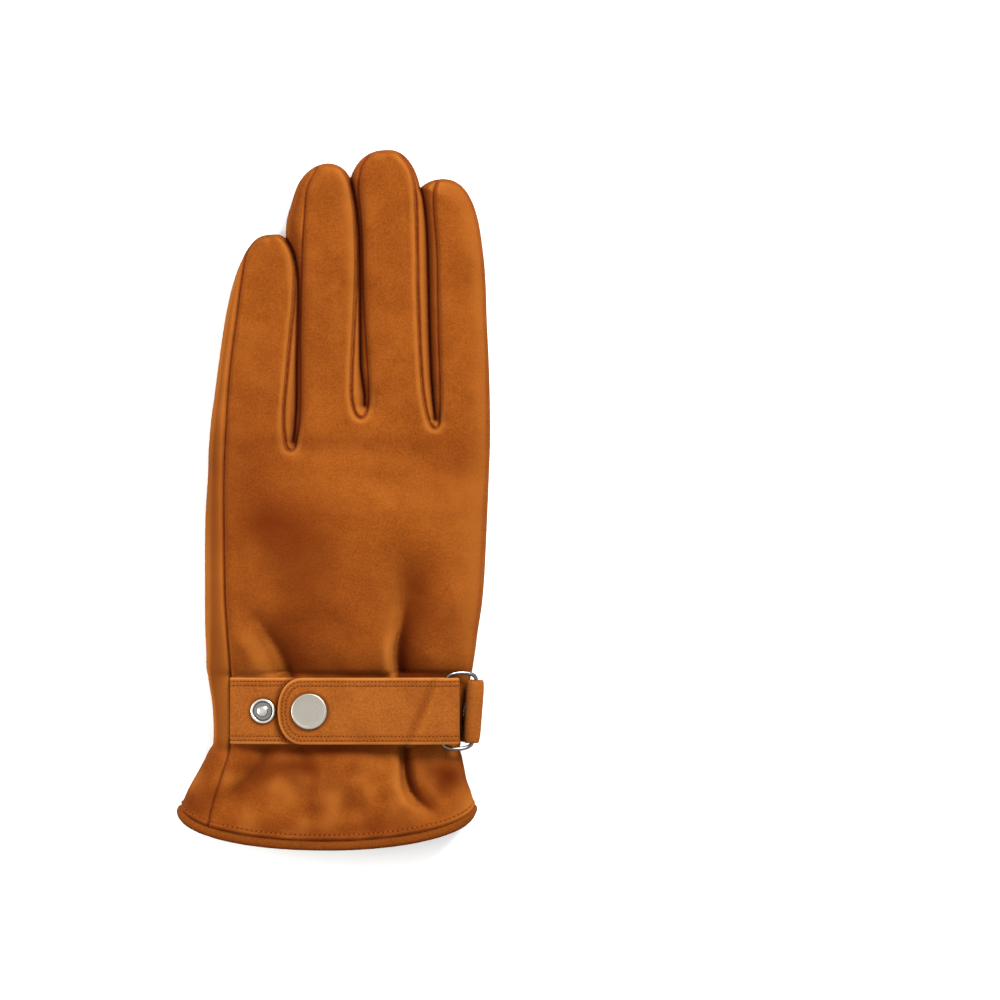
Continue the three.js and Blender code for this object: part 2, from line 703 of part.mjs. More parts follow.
function addPiece(name, solid, finish) {
  const made = solid.getMesh();
  const geometry = new THREE.BufferGeometry();
  geometry.setAttribute('position', new THREE.BufferAttribute(made.vertProperties, 3));
  geometry.setIndex(new THREE.BufferAttribute(made.triVerts, 1));
  const flatFaces = geometry.toNonIndexed();
  flatFaces.computeVertexNormals();
  const piece = new THREE.Mesh(flatFaces, new THREE.MeshStandardMaterial(finish));
  piece.name = name;
  glove.add(piece);
}

const hand = handForms();
const fingers = Object.values(FINGERS).map((rows) => fingerForms(rows));
const thumb = thumbForms();
const outer = fingers.reduce((solid, finger) => solid.add(finger.outer), hand.outer);
const inner = fingers.reduce((solid, finger) => solid.add(finger.inner), hand.inner);
const shell = outer.subtract(inner);
const panels = NOTCHES.reduce((solid, notch) => solid.subtract(notchCutter(notch, GAP)), shell);

addPiece('back_panel', panels.intersect(partingCutter(GAP)), suede);
addPiece('palm_panel', panels.subtract(partingCutter(0)).subtract(thumb.cutter), suede);
for (const notch of NOTCHES) {
  addPiece(notch.name, shell.intersect(notchCutter(notch, 0)), darkSuede);
}
addPiece('thumb', thumb.outer.subtract(thumb.inner).subtract(hand.inner), suede);
addPiece('cuff_binding', cuffBinding(), darkSuede);

const studHole = holeCutter(1.7, -4, 0.4);
const capHole = holeCutter(POST_RADIUS + 1.5, LAYER_GAP / 2, 8);
const holes = [onStrap(studHole, STUD_X), onStrap(studHole, CAP_X), onStrap(capHole, CAP_X)];
addPiece('strap', strapSolid(holes), suede);
addPiece('strap_ring', ringSolid(), steel);
addPiece('ring_tab', tabSolid(), suede);
addPiece('stud_open', onStrap(studSolid(), STUD_X), steel);
addPiece('stud_fastened', onStrap(studSolid(), CAP_X), steel);
addPiece('snap_cap', onStrap(capSolid(), CAP_X), steel);

export default glove;
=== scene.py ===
# %% [markdown]
# # A suede glove, lying on its palm
# This notebook dresses a plain model of a man's suede glove. It makes the leather, its seams and
# folds, the strap with its ring and snaps, and then the light and the camera. Lengths are in
# millimetres until a mesh is made, and in metres inside Blender.

import math
from functools import partial

import bmesh
import bpy
import numpy as np
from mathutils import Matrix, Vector


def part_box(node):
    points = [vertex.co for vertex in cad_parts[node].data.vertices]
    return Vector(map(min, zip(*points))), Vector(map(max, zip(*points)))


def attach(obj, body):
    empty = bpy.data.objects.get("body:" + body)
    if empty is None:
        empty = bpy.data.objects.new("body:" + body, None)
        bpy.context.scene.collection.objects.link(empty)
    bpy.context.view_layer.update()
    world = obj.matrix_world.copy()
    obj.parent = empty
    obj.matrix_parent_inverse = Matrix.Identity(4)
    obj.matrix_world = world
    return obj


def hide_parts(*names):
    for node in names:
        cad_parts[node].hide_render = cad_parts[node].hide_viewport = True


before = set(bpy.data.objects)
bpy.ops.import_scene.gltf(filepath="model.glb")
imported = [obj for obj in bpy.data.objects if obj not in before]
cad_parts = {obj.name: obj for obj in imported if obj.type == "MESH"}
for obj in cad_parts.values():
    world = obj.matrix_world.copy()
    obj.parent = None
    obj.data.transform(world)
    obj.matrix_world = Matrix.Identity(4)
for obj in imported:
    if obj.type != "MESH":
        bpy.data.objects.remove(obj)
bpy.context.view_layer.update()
METRES = 0.001


def node_box(node):
    """The lowest and highest corners of a node of the plain model, to a tenth of a millimetre."""
    return [[round(value / METRES, 1) for value in corner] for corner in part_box(node)]


print("nodes in the frame:", len(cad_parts))

# %% [markdown]
# ## Reading a short table smoothly
# A glove is drawn from a few measured rows. A cubic curve through the rows gives a soft outline
# where straight lines between them would leave corners.


# %% A smooth curve through a table's rows
def smooth_row(value, places, amounts):
    """The amount at any place between the rows, which never overshoots them."""
    places, amounts = np.asarray(places, float), np.asarray(amounts, float)
    slopes = np.diff(amounts) / np.diff(places)
    before, after = np.append(slopes[:1], slopes), np.append(slopes, slopes[-1:])
    same_way = before * after > 0
    tangent = np.where(same_way, 2 * before * after / np.where(same_way, before + after, 1), 0)
    value = np.clip(value, places[0], places[-1])
    index = np.clip(np.searchsorted(places, value, side="right") - 1, 0, len(slopes) - 1)
    run = places[index + 1] - places[index]
    share = (value - places[index]) / run
    start = (1 + 2 * share) * (1 - share) ** 2 * amounts[index]
    end = share**2 * (3 - 2 * share) * amounts[index + 1]
    lean = share * (1 - share) * run * ((1 - share) * tangent[index] - share * tangent[index + 1])
    return start + end + lean


def smoothstep(low, high, value):
    """Rises softly from 0 at low to 1 at high."""
    share = np.clip((value - low) / (high - low), 0, 1)
    return share * share * (3 - 2 * share)


def ridge(away, width):
    """A smooth bump: 1 at no distance, falling off over the width."""
    return np.exp(-((away / width) ** 2))


def column(table, place):
    """One column of a table of rows."""
    return [row[place] for row in table]


def unit(rows):
    """Directions as rows of numbers, each brought to length 1."""
    return rows / np.maximum(np.linalg.norm(rows, axis=1, keepdims=True), 1e-12)


def around(sides):
    """The angles of evenly spaced places round a circle."""
    return 2 * np.pi * np.arange(sides) / sides


print("halfway between two rows:", round(float(smooth_row(0.5, [0, 1, 2], [0, 1, 1])), 3))

# %% [markdown]
# ## The hand and cuff
# Each row is a place along the glove with its left and right edges, the heights of those edges
# and the height of the crown between them. The wrist is narrow under the strap, and the cuff
# flares to the hem. A block could be pulled into this shape by hand, but rows of sizes are easier
# to check against the real glove.

# %% The hand's rows
# y, left, right, height of the left edge, height of the right edge, crown
HAND = [
    (-112.6, -55.6, 51.0, 6.5, 7.5, 20.3),
    (-109.0, -54.2, 50.6, 6.5, 8.0, 20.4),
    (-105.0, -52.6, 49.7, 6.5, 8.5, 20.5),
    (-100.8, -50.4, 48.2, 6.5, 9.0, 20.8),
    (-96.5, -47.9, 47.3, 6.5, 9.0, 20.6),
    (-92.2, -45.7, 46.4, 7.0, 9.0, 19.4),
    (-89.8, -44.5, 45.7, 7.0, 9.0, 18.4),
    (-87.7, -43.2, 45.9, 7.0, 9.0, 18.0),
    (-75.5, -43.3, 47.2, 7.0, 9.0, 18.0),
    (-63.3, -45.1, 49.7, 7.0, 9.7, 18.2),
    (-60.5, -45.6, 50.3, 7.0, 10.2, 20.4),
    (-54.0, -45.7, 51.3, 7.0, 10.5, 22.8),
    (-47.0, -46.0, 52.2, 7.0, 10.5, 24.0),
    (-38.0, -46.1, 53.6, 7.0, 10.5, 24.8),
    (-28.0, -46.1, 54.5, 7.0, 10.2, 25.2),
    (-16.0, -46.1, 55.1, 7.0, 9.6, 24.8),
    (-5.0, -45.9, 55.6, 7.0, 9.0, 22.9),
    (10.0, -45.0, 56.2, 7.0, 7.5, 18.6),
    (22.0, -44.4, 56.5, 7.0, 7.3, 16.8),
    (31.0, -43.9, 56.8, 7.0, 7.2, 16.2),
    (61.0, -39.4, 56.1, 7.0, 7.0, 15.2),
    (93.0, -29.0, 54.0, 6.8, 6.8, 14.6),
    (126.0, -12.0, 44.0, 6.6, 6.6, 14.3),
]
HEM_Y = HAND[0][0]
HEM_SAG = round(HEM_Y - node_box("cuff_binding")[0][1], 1)
print("the hem's middle hangs below its ends by", HEM_SAG, "mm")

# %% [markdown]
# ## The fingers
# A finger of a dress glove is a flattened tube. One table gives the outline round each fingertip,
# from the place where it parts from its left neighbour to the place where it parts from its
# right one. Below those places two fingers touch, along a line that runs down to their crotch.
# Four separate tubes would cut into each other there, and a shared line can't.

# %% The fingertips and the lines between the fingers
# x and y of each place
TIPS = {
    "little": [
        (-44.8, 18.0), (-43.9, 28.8), (-42.9, 36.0), (-41.2, 49.0), (-38.9, 64.8), (-37.0, 74.0),
        (-34.9, 81.4), (-32.6, 87.0), (-30.8, 90.4), (-28.2, 93.6), (-25.4, 95.2), (-22.0, 95.7),
        (-19.2, 95.5), (-17.0, 94.2),
    ],
    "ring": [
        (-17.0, 94.2), (-17.0, 98.0), (-16.4, 102.0), (-15.0, 106.8), (-13.5, 111.6),
        (-11.9, 115.0), (-9.3, 118.1), (-6.2, 120.2), (-2.2, 121.3), (1.6, 120.6), (4.4, 118.6),
        (6.3, 115.7),
    ],
    "middle": [
        (6.3, 115.7), (7.2, 118.3), (9.0, 121.4), (11.6, 123.9), (14.8, 125.5), (18.6, 126.1),
        (22.2, 125.9), (25.2, 124.4), (28.0, 121.3), (29.7, 118.1), (30.8, 115.0), (31.4, 112.4),
    ],
    "index": [
        (31.4, 112.4), (33.3, 113.9), (36.2, 115.2), (39.6, 115.7), (42.8, 115.2), (45.6, 113.7),
        (47.6, 111.7), (49.4, 108.9), (51.2, 104.6), (52.6, 99.2), (53.7, 92.0), (54.6, 84.0),
        (55.1, 75.0), (55.4, 65.0), (56.1, 50.0), (56.5, 36.0), (56.6, 22.0),
    ],
}
SLITS = {
    "little_ring": [
        (-17.0, 94.2), (-15.1, 91.4), (-13.5, 87.4), (-12.6, 81.4), (-12.5, 72.0), (-12.7, 60.0),
        (-12.9, 46.0), (-13.0, 34.0), (-13.6, 26.0), (-14.4, 20.8),
    ],
    "ring_middle": [
        (6.3, 115.7), (7.6, 110.6), (8.8, 103.0), (9.5, 93.0), (9.7, 78.0), (9.9, 61.0),
        (10.2, 48.0), (10.9, 42.5), (11.4, 38.0), (11.3, 34.0),
    ],
    "middle_index": [
        (31.4, 112.4), (32.8, 107.4), (33.9, 97.0), (34.5, 78.0), (34.9, 61.0), (35.5, 46.0),
        (36.2, 36.0), (36.7, 29.0),
    ],
}
# the topmost row of the little finger and of the index finger, where the hand's sides begin
LITTLE_TOP, INDEX_TOP = 11, 3
print("fingertips:", ", ".join(TIPS))

# %% [markdown]
# ## One outline of the whole glove
# The outline goes up the little finger's side, over its tip, down to the first crotch and up
# again, and so on to the index finger. A Catmull-Rom curve rounds each stretch of it. The outer
# sides are kept apart from the rest, because the leather rounds off over a long way at the
# hand's sides and over a short way round each finger.


# %% Join the stretches into one line
def rounded_line(points, steps=6):
    """A curve through the points, with even steps between each two of them."""
    points = np.asarray(points, float)
    padded = np.vstack([2 * points[0] - points[1], points, 2 * points[-1] - points[-2]])
    share = np.linspace(0, 1, steps, endpoint=False)[:, None]
    pieces = []
    for index in range(len(points) - 1):
        p0, p1, p2, p3 = padded[index : index + 4]
        reach = np.linalg.norm(p2 - p1)
        into = (p2 - p0) / np.linalg.norm(p2 - p0) * reach
        out = (p3 - p1) / np.linalg.norm(p3 - p1) * reach
        curve = (2 * share**3 - 3 * share**2 + 1) * p1 + (share**3 - 2 * share**2 + share) * into
        curve = curve + (3 * share**2 - 2 * share**3) * p2 + (share**3 - share**2) * out
        pieces.append(curve)
    return np.vstack(pieces + [points[-1:]])


SIDE_END, BEYOND_HEM, LEFT_FLARE, RIGHT_FLARE = 15.0, -142.0, 8.0, 1.0
side_rows = [row for row in HAND if row[0] < SIDE_END]
left_side = [(row[1], row[0]) for row in side_rows]
left_side.insert(0, (left_side[0][0] - LEFT_FLARE, BEYOND_HEM))
right_side = [(row[2], row[0]) for row in reversed(side_rows)]
right_side.append((right_side[-1][0] + RIGHT_FLARE, BEYOND_HEM))

left_line = rounded_line(left_side + TIPS["little"][: LITTLE_TOP + 1])
right_line = rounded_line(TIPS["index"][INDEX_TOP:] + right_side)
tip_lines = [rounded_line(TIPS["little"][LITTLE_TOP:]), rounded_line(TIPS["ring"])]
tip_lines += [rounded_line(TIPS["middle"]), rounded_line(TIPS["index"][: INDEX_TOP + 1])]
slit_lines = {name: rounded_line(points) for name, points in SLITS.items()}
outline = np.vstack([left_line] + tip_lines + [right_line])
print("points on the outline:", len(outline))

# %% [markdown]
# ## A plan of the glove on a fine grid
# Distances to the outline and to the seams are worked out once on a grid over the plan. After
# that, any point of the leather can look its distance up, which is quick even for a fine mesh.

# %% The grid
CELL = 0.4
PLAN_LOW = np.array([-66.0, -144.0])
PLAN_SIZE = (330, 690)
plan_x = PLAN_LOW[0] + CELL * np.arange(PLAN_SIZE[0])
plan_y = PLAN_LOW[1] + CELL * np.arange(PLAN_SIZE[1])
PLAN_X, PLAN_Y = np.meshgrid(plan_x, plan_y, indexing="ij")


def distance_to(line, reach):
    """Distance from each grid point to a line, up to the given reach."""
    nearest = np.full(PLAN_SIZE, float(reach))
    for start, end in zip(line[:-1], line[1:]):
        low = np.minimum(start, end) - reach
        high = np.maximum(start, end) + reach
        i0, j0 = np.maximum(((low - PLAN_LOW) / CELL).astype(int), 0)
        i1, j1 = np.maximum(((high - PLAN_LOW) / CELL).astype(int) + 2, 0)
        x, y = PLAN_X[i0:i1, j0:j1] - start[0], PLAN_Y[i0:i1, j0:j1] - start[1]
        run = end - start
        share = np.clip((x * run[0] + y * run[1]) / max(float(run @ run), 1e-9), 0, 1)
        away = np.hypot(x - share * run[0], y - share * run[1])
        np.minimum(nearest[i0:i1, j0:j1], away, out=nearest[i0:i1, j0:j1])
    return nearest


def inside_of(loop):
    """Which grid points lie inside a closed line."""
    filled = np.zeros(PLAN_SIZE, bool)
    for start, end in zip(loop, np.roll(loop, -1, axis=0)):
        (x0, y0), (x1, y1) = (start, end) if start[1] < end[1] else (end, start)
        rows = np.nonzero((plan_y >= y0) & (plan_y < y1))[0]
        if len(rows):
            cross = x0 + (plan_y[rows] - y0) * (x1 - x0) / (y1 - y0)
            filled[:, rows] ^= plan_x[:, None] >= cross[None, :]
    return filled


def look_up(field, x, y):
    """A grid field at any place, blended between the four grid points around it."""
    u = np.clip((x - PLAN_LOW[0]) / CELL, 0, PLAN_SIZE[0] - 1.001)
    v = np.clip((y - PLAN_LOW[1]) / CELL, 0, PLAN_SIZE[1] - 1.001)
    i, j = u.astype(int), v.astype(int)
    u, v = u - i, v - j
    low = field[i, j] * (1 - v) + field[i, j + 1] * v
    high = field[i + 1, j] * (1 - v) + field[i + 1, j + 1] * v
    return low * (1 - u) + high * u


print("points of the grid:", PLAN_X.size)

# %% Distances to the outline and the slits
SIDE_REACH, FINGER_REACH = 52.0, 14.0
is_inside = inside_of(outline)
to_side = np.minimum(distance_to(left_line, SIDE_REACH), distance_to(right_line, SIDE_REACH))
to_tip = np.min([distance_to(line, FINGER_REACH) for line in tip_lines], axis=0)
to_slit = np.min([distance_to(line, FINGER_REACH) for line in slit_lines.values()], axis=0)
to_outline = np.minimum(to_side, to_tip)
print("share of the plan that is glove:", round(float(is_inside.mean()), 3))

# %% [markdown]
# ## The walls beside the slits
# Each finger lies a little over its neighbour, so the wall at the left of a slit leans more than
# the wall at its right. The distances are stretched or shortened near the slits for this. Two
# more fields remember which places are at the right of a slit and which are at its end.

# %% Lean the walls
SLIT_FLOOR, LEFT_LEAN, RIGHT_LEAN, LEAN_REACH = 0.14, 0.66, 1.6, 3.5
HALF_FINGER, END_FADE, TIP_FADE, SIDE_BLEND = 10.8, 7.0, 8.0, 0.4
lean = np.ones(PLAN_SIZE)
at_right_of_slit, at_slit_end = np.zeros(PLAN_SIZE), np.zeros(PLAN_SIZE)
for line in slit_lines.values():
    slit_x = np.interp(PLAN_Y, line[::-1, 1], line[::-1, 0])
    near = smoothstep(line[-1, 1], line[-1, 1] + END_FADE, PLAN_Y)
    near = near * (1 - smoothstep(line[0, 1] - TIP_FADE, line[0, 1], PLAN_Y))
    near = near * (np.abs(PLAN_X - slit_x) < HALF_FINGER)
    side = smoothstep(-SIDE_BLEND, SIDE_BLEND, PLAN_X - slit_x)
    lean = lean + near * (LEFT_LEAN + (RIGHT_LEAN - LEFT_LEAN) * side - 1)
    at_right_of_slit = np.maximum(at_right_of_slit, near * side)
    from_end = np.hypot(PLAN_X - line[-1, 0], PLAN_Y - line[-1, 1])
    at_slit_end = np.maximum(at_slit_end, ridge(from_end, TIP_FADE))
lean = 1 + (lean - 1) * ridge(to_slit, LEAN_REACH)
to_finger = np.minimum(to_tip, np.hypot(to_slit, SLIT_FLOOR) * lean)
to_side = np.where(is_inside | (to_side > to_tip), to_side, -to_side)
to_finger = np.where(is_inside | (to_tip > np.abs(to_side)), to_finger, -to_tip)
print("steepest lean:", round(float(lean.max()), 2), "and gentlest:", round(float(lean.min()), 2))

# %% [markdown]
# ## Folds and dents
# Soft leather that has been worn keeps dents where the hand bends, and creases where the strap
# draws it in. Each fold is a line of places with a width to its left, a width to its right and a
# depth. A softness near zero makes the sharp bottom of a crease, and a large one a round dent.
# Folds are often sculpted with a brush, but a line of sizes can be moved and measured.

# %% The folds
# softness, then x, y, width on the left, width on the right, depth (negative is raised)
FOLDS = {
    "below the knuckles": (1.6, [
        (-14, 19, 6, 6, 0.0), (-8, 18.5, 5, 5, 0.9), (8, 18.3, 5, 5, 1.1), (24, 17.2, 5, 5, 1.0),
        (34, 13.5, 6, 6, 0.9), (44, 9.5, 7, 7, 0.7), (54, 8, 7, 7, 0.2),
    ]),
    "left of the hand": (1.6, [
        (-30, 8, 9, 9, 0.0), (-29, -4, 9, 9, 0.9), (-25, -16, 10, 10, 1.0),
        (-22, -30, 10, 10, 0.6), (-20, -40, 10, 10, 0.0),
    ]),
    "right crease": (0.22, [
        (25.4, -10, 9, 13, 0.0), (25.2, -18, 9, 13, 1.6), (25.2, -26, 8.5, 12, 3.2),
        (25.5, -34, 7.0, 10.5, 4.4), (25.1, -42, 4.8, 9, 5.2), (24.1, -48, 2.8, 7.8, 5.8),
        (23.4, -54, 2.0, 7.2, 6.2), (23.4, -59, 2.0, 7.0, 6.2), (24.0, -66, 2.0, 7.0, 5.8),
    ]),
    "left crease": (0.22, [
        (-29.0, -40.5, 5, 5, 0.0), (-25.6, -44.9, 5, 5, 1.4), (-21.6, -50.0, 5.5, 5, 4.0),
        (-17.8, -55.8, 6, 5, 5.6), (-15.8, -60.5, 6, 5, 6.2), (-14.6, -64.6, 6, 5, 5.6),
    ]),
    "lip of the right crease": (1.2, [
        (23.2, -38, 3, 2.4, 0.0), (21.6, -46, 3, 1.6, -0.8), (20.2, -54, 3, 1.4, -1.4),
        (20.1, -60, 3, 1.4, -1.6), (20.5, -66, 3, 1.4, -1.4),
    ]),
    "mound at its left": (1.4, [
        (-37, -44, 4, 4, 0.0), (-32, -51, 4, 4, -1.2), (-28.0, -58, 4, 4, -1.0),
        (-25, -66, 4, 4, -0.6),
    ]),
    "cuff crease": (0.16, [
        (25.4, -84, 2.2, 5.2, 5.0), (25.4, -93, 2.2, 5.2, 6.2), (25.8, -100.0, 2.2, 5.2, 6.4),
        (27.2, -104.6, 2.4, 5.0, 5.8), (30.0, -108.0, 2.6, 4.8, 4.4), (33.8, -110.6, 3.0, 4.4, 2.6),
        (38.6, -113, 3.0, 4.0, 0.3),
    ]),
    "lip of the cuff crease": (1.2, [
        (23.0, -88, 3, 1.3, -0.4), (23.2, -96, 3, 1.3, -1.2), (23.8, -103, 3, 1.4, -1.7),
        (27.0, -108.4, 3, 1.6, -1.2), (32.4, -112.4, 3, 2.0, 0.0),
    ]),
    "cuff dent": (0.5, [
        (37.0, -86, 4, 6, 1.0), (35.8, -93, 4, 6, 2.0), (36.2, -100, 4, 6.4, 3.2),
        (38.6, -104.8, 4, 5, 2.2), (42, -108.6, 3, 4, 0.3),
    ]),
    "first slant": (0.3, [
        (-21.6, -87.0, 4, 5, 2.8), (-25.6, -94.3, 4, 4.6, 3.8), (-29.9, -100.8, 4, 4.6, 3.8),
        (-35.6, -106.6, 3.6, 4.2, 1.8), (-40.0, -111.0, 3, 4, 0.3),
    ]),
    "hollow at the middle": (0.8, [
        (-9.6, -87, 4, 5, 1.2), (-9.2, -96, 4, 5, 1.7), (-9.6, -106, 4, 5, 1.3),
        (-10.6, -112, 4, 5, 0.5),
    ]),
    "hollow at its right": (0.8, [
        (8.4, -92, 4, 5, 0.2), (8.4, -101, 4, 5, 1.0), (9.2, -110, 4, 5, 1.5),
        (9.6, -116, 4, 5, 0.8),
    ]),
    "last wave": (1.0, [(15.6, -86, 4, 4, 0.5), (16.2, -97, 4, 4, 0.9), (17, -106, 4, 4, 0.2)]),
}
print("folds, lips and dents:", len(FOLDS))

# %% [markdown]
# ## From the lines to the leather
# Every place in the plan takes the nearest stretch of each line, and how far away that is decides
# how much of its depth the place gets. Between the drawn folds worn leather is never quite flat,
# so a little smooth noise stands for its slack. The strap presses all of this smooth.

# %% Add up the lines
PRESS_POWER, BLUR_SCALE, NOISE_REACH = 1.5, 2.2, 2.2


def along_lines(x, y, lines):
    """What the lines add up to at each place, each falling off over its widths."""
    total = np.zeros_like(x)
    for softness, stations in lines.values():
        nearest = np.full_like(x, np.inf)
        depth_here = np.zeros_like(x)
        for start, end in zip(stations[:-1], stations[1:]):
            run_x, run_y = end[0] - start[0], end[1] - start[1]
            length = math.hypot(run_x, run_y)
            share = ((x - start[0]) * run_x + (y - start[1]) * run_y) / length**2
            share = np.clip(share, 0, 1)
            away_x, away_y = x - start[0] - share * run_x, y - start[1] - share * run_y
            away = np.hypot(away_x, away_y)
            beside = (away_y * run_x - away_x * run_y) / length
            on_right = smoothstep(-SIDE_BLEND, SIDE_BLEND, beside)
            left, right, depth = (start[n] + (end[n] - start[n]) * share for n in (2, 3, 4))
            width = left + (right - left) * on_right
            closer = away < nearest
            rounded = np.hypot(away / width, softness) - softness
            press = np.exp(-rounded * (1 + softness) ** PRESS_POWER)
            depth_here = np.where(closer, depth * press, depth_here)
            nearest = np.minimum(nearest, away)
        total += depth_here
    return total


def blurred(field, size):
    """A grid field with everything finer than the given size smoothed away."""
    wave_x = np.fft.fftfreq(PLAN_SIZE[0], CELL)[:, None]
    wave_y = np.fft.rfftfreq(PLAN_SIZE[1], CELL)[None, :]
    blur = np.exp(-((wave_x**2 + wave_y**2) * (size * BLUR_SCALE) ** 2))
    return np.fft.irfft2(np.fft.rfft2(field) * blur, PLAN_SIZE)


def soft_noise(size, seed):
    """Random hills and hollows of about the given size, between -1 and 1."""
    hills = blurred(np.random.default_rng(seed).standard_normal(PLAN_SIZE), size)
    return np.clip(hills / (NOISE_REACH * hills.std()), -1, 1)


print("sharpest and roundest line:", min(column(FOLDS.values(), 0)), max(column(FOLDS.values(), 0)))

# %% Press the folds in
SLACK_SIZE, SLACK_HEIGHT, FINE_SLACK_SIZE, FINE_SLACK_HEIGHT = 9.0, 0.40, 3.6, 0.12
SLACK_UNDER_STRAP = 0.25
strap_low, strap_high = node_box("strap")
STRAP_Y = (strap_low[1] + strap_high[1]) / 2
STRAP_WIDTH = round(strap_high[1] - strap_low[1], 1)
from_strap = np.abs(PLAN_Y - STRAP_Y) - STRAP_WIDTH / 2
# the strap presses the leather smooth
free_of_strap = smoothstep(-0.6, 2.2, from_strap)
fold_lift = -along_lines(PLAN_X, PLAN_Y, FOLDS) * free_of_strap
slack = SLACK_HEIGHT * soft_noise(SLACK_SIZE, 3)
slack = slack + FINE_SLACK_HEIGHT * soft_noise(FINE_SLACK_SIZE, 8)
slack = slack * (SLACK_UNDER_STRAP + (1 - SLACK_UNDER_STRAP) * free_of_strap)
print("deepest fold, in millimetres:", round(float(fold_lift.min()), 2))

# %% [markdown]
# ## The thumb
# It is hidden in the photograph, folded under the palm. The palm arches over it, so the thumb's
# place and size are settled before the palm's height. It is a flattened tube too, along an axis
# of its own.

# %% The thumb's rows
THUMB_ROOT = np.array([37.0, -48.0])
THUMB_WAY = np.array([-0.75, 0.66]) / math.hypot(0.75, 0.66)
THUMB_ACROSS = np.array([THUMB_WAY[1], -THUMB_WAY[0]])
# along its axis, half width, lowest, highest
THUMB = [
    (0.0, 10.0, 10.4, 14.4),
    (8.0, 12.0, 7.2, 14.4),
    (16.0, 12.8, 1.6, 13.4),
    (24.0, 12.8, 0.0, 11.6),
    (40.0, 11.8, 0.0, 11.0),
    (52.0, 10.4, 0.0, 10.2),
    (58.0, 8.2, 0.9, 9.2),
    (61.4, 5.2, 2.6, 7.6),
    (63.0, 1.6, 4.6, 5.8),
]
THUMB_LENGTH = THUMB[-1][0]
THUMB_POWER, END_ROUNDING = 2.8, 3.0


def along_thumb(x, y):
    """How far a place in the plan is along the thumb's axis, and beside it."""
    away_x, away_y = x - THUMB_ROOT[0], y - THUMB_ROOT[1]
    along = away_x * THUMB_WAY[0] + away_y * THUMB_WAY[1]
    return along, away_x * THUMB_ACROSS[0] + away_y * THUMB_ACROSS[1]


def thumb_form(x, y, z):
    """Below zero inside the thumb, and close to a distance in millimetres near its skin."""
    along, across = along_thumb(x, y)
    half = smooth_row(along, column(THUMB, 0), column(THUMB, 1))
    low = smooth_row(along, column(THUMB, 0), column(THUMB, 2))
    high = smooth_row(along, column(THUMB, 0), column(THUMB, 3))
    past_end = np.maximum(0, np.maximum(-along, along - THUMB_LENGTH)) / END_ROUNDING
    height = (z - (low + high) / 2) / ((high - low) / 2)
    ball = np.abs(across / half) ** THUMB_POWER + np.abs(height) ** THUMB_POWER
    ball = (ball + past_end**THUMB_POWER) ** (1 / THUMB_POWER)
    return (ball - 1) * np.minimum(half, (high - low) / 2)


print("length of the thumb's axis:", THUMB_LENGTH)

# %% The arch of the palm over the thumb
# the arch is flat over the thumb's own length and runs out to the palm beside it
ARCH_FROM, ARCH_HIGHEST, ARCH_TO, ARCH_ROOM = 12.0, 24.0, 53.0, 0.7
ARCH_FLAT, ARCH_FOOT = 16.0, 27.0
arch_along, arch_across = along_thumb(PLAN_X, PLAN_Y)
arch_away = np.hypot(arch_across, arch_along - np.clip(arch_along, ARCH_FROM, ARCH_TO))
arch_place = np.clip(arch_along, ARCH_HIGHEST, ARCH_TO)
arch_top = smooth_row(arch_place, column(THUMB, 0), column(THUMB, 3))
arch = (arch_top + ARCH_ROOM) * (1 - smoothstep(ARCH_FLAT, ARCH_FOOT, arch_away))
print("highest place of the arch:", round(float(arch.max()), 1))

# %% [markdown]
# ## The form of the leather
# At every place in the plan the leather has a widest height, a height of the back above it and
# a depth of the palm below it. A superellipse rounds the section from the widest height to the
# crown over a set distance from the edge. Below zero means inside. A smoothed cage of few faces
# would be quicker to draw, but it would melt the slits between the fingers away.

# %% Height fields over the plan
HAND_Y = column(HAND, 0)
left_edge = smooth_row(PLAN_Y, HAND_Y, column(HAND, 3))
right_edge = smooth_row(PLAN_Y, HAND_Y, column(HAND, 4))
row_left = smooth_row(PLAN_Y, HAND_Y, column(HAND, 1))
row_right = smooth_row(PLAN_Y, HAND_Y, column(HAND, 2))
across_row = np.clip((PLAN_X - row_left) / (row_right - row_left), 0, 1)
crown = smooth_row(PLAN_Y, HAND_Y, column(HAND, 5))
# the little finger lies lower than the others, and the palm rises a little to the hem
LITTLE_DROP, HEM_RISE = 1.3, 1.3
crown = crown - LITTLE_DROP * smoothstep(-10, -22, PLAN_X) * smoothstep(15, 40, PLAN_Y)
edge_height = left_edge + (right_edge - left_edge) * across_row
palm_low = np.maximum(arch, HEM_RISE * smoothstep(-101, -109, PLAN_Y))
# the widest height clears the arch, by a maximum whose corner is rounded and then blurred
EDGE_OVER_ARCH, WIDEST_BLEND, WIDEST_BLUR, LEAST_ROOM = 1.8, 1.6, 9.0, 0.7
over_arch = palm_low + EDGE_OVER_ARCH - edge_height
widest = edge_height + (over_arch + np.hypot(over_arch, WIDEST_BLEND)) / 2
widest = widest - WIDEST_BLEND**2 / (4 * np.hypot(over_arch, WIDEST_BLEND))
widest = np.maximum(blurred(widest, WIDEST_BLUR), palm_low + LEAST_ROOM)
top_rise = crown - widest + fold_lift + slack
LEAST_DROP = 1.6
palm_drop = np.maximum(widest - palm_low, LEAST_DROP)
print("widest height:", round(float(widest.min()), 1), "to", round(float(widest.max()), 1))

# %% [markdown]
# The back rounds off over nearly half the hand's width at its sides, but over about ten
# millimetres round each finger. The two roundings meet where the fingers begin, and a small blend
# keeps that line from showing as a ridge. The palm rounds off over a short way everywhere.

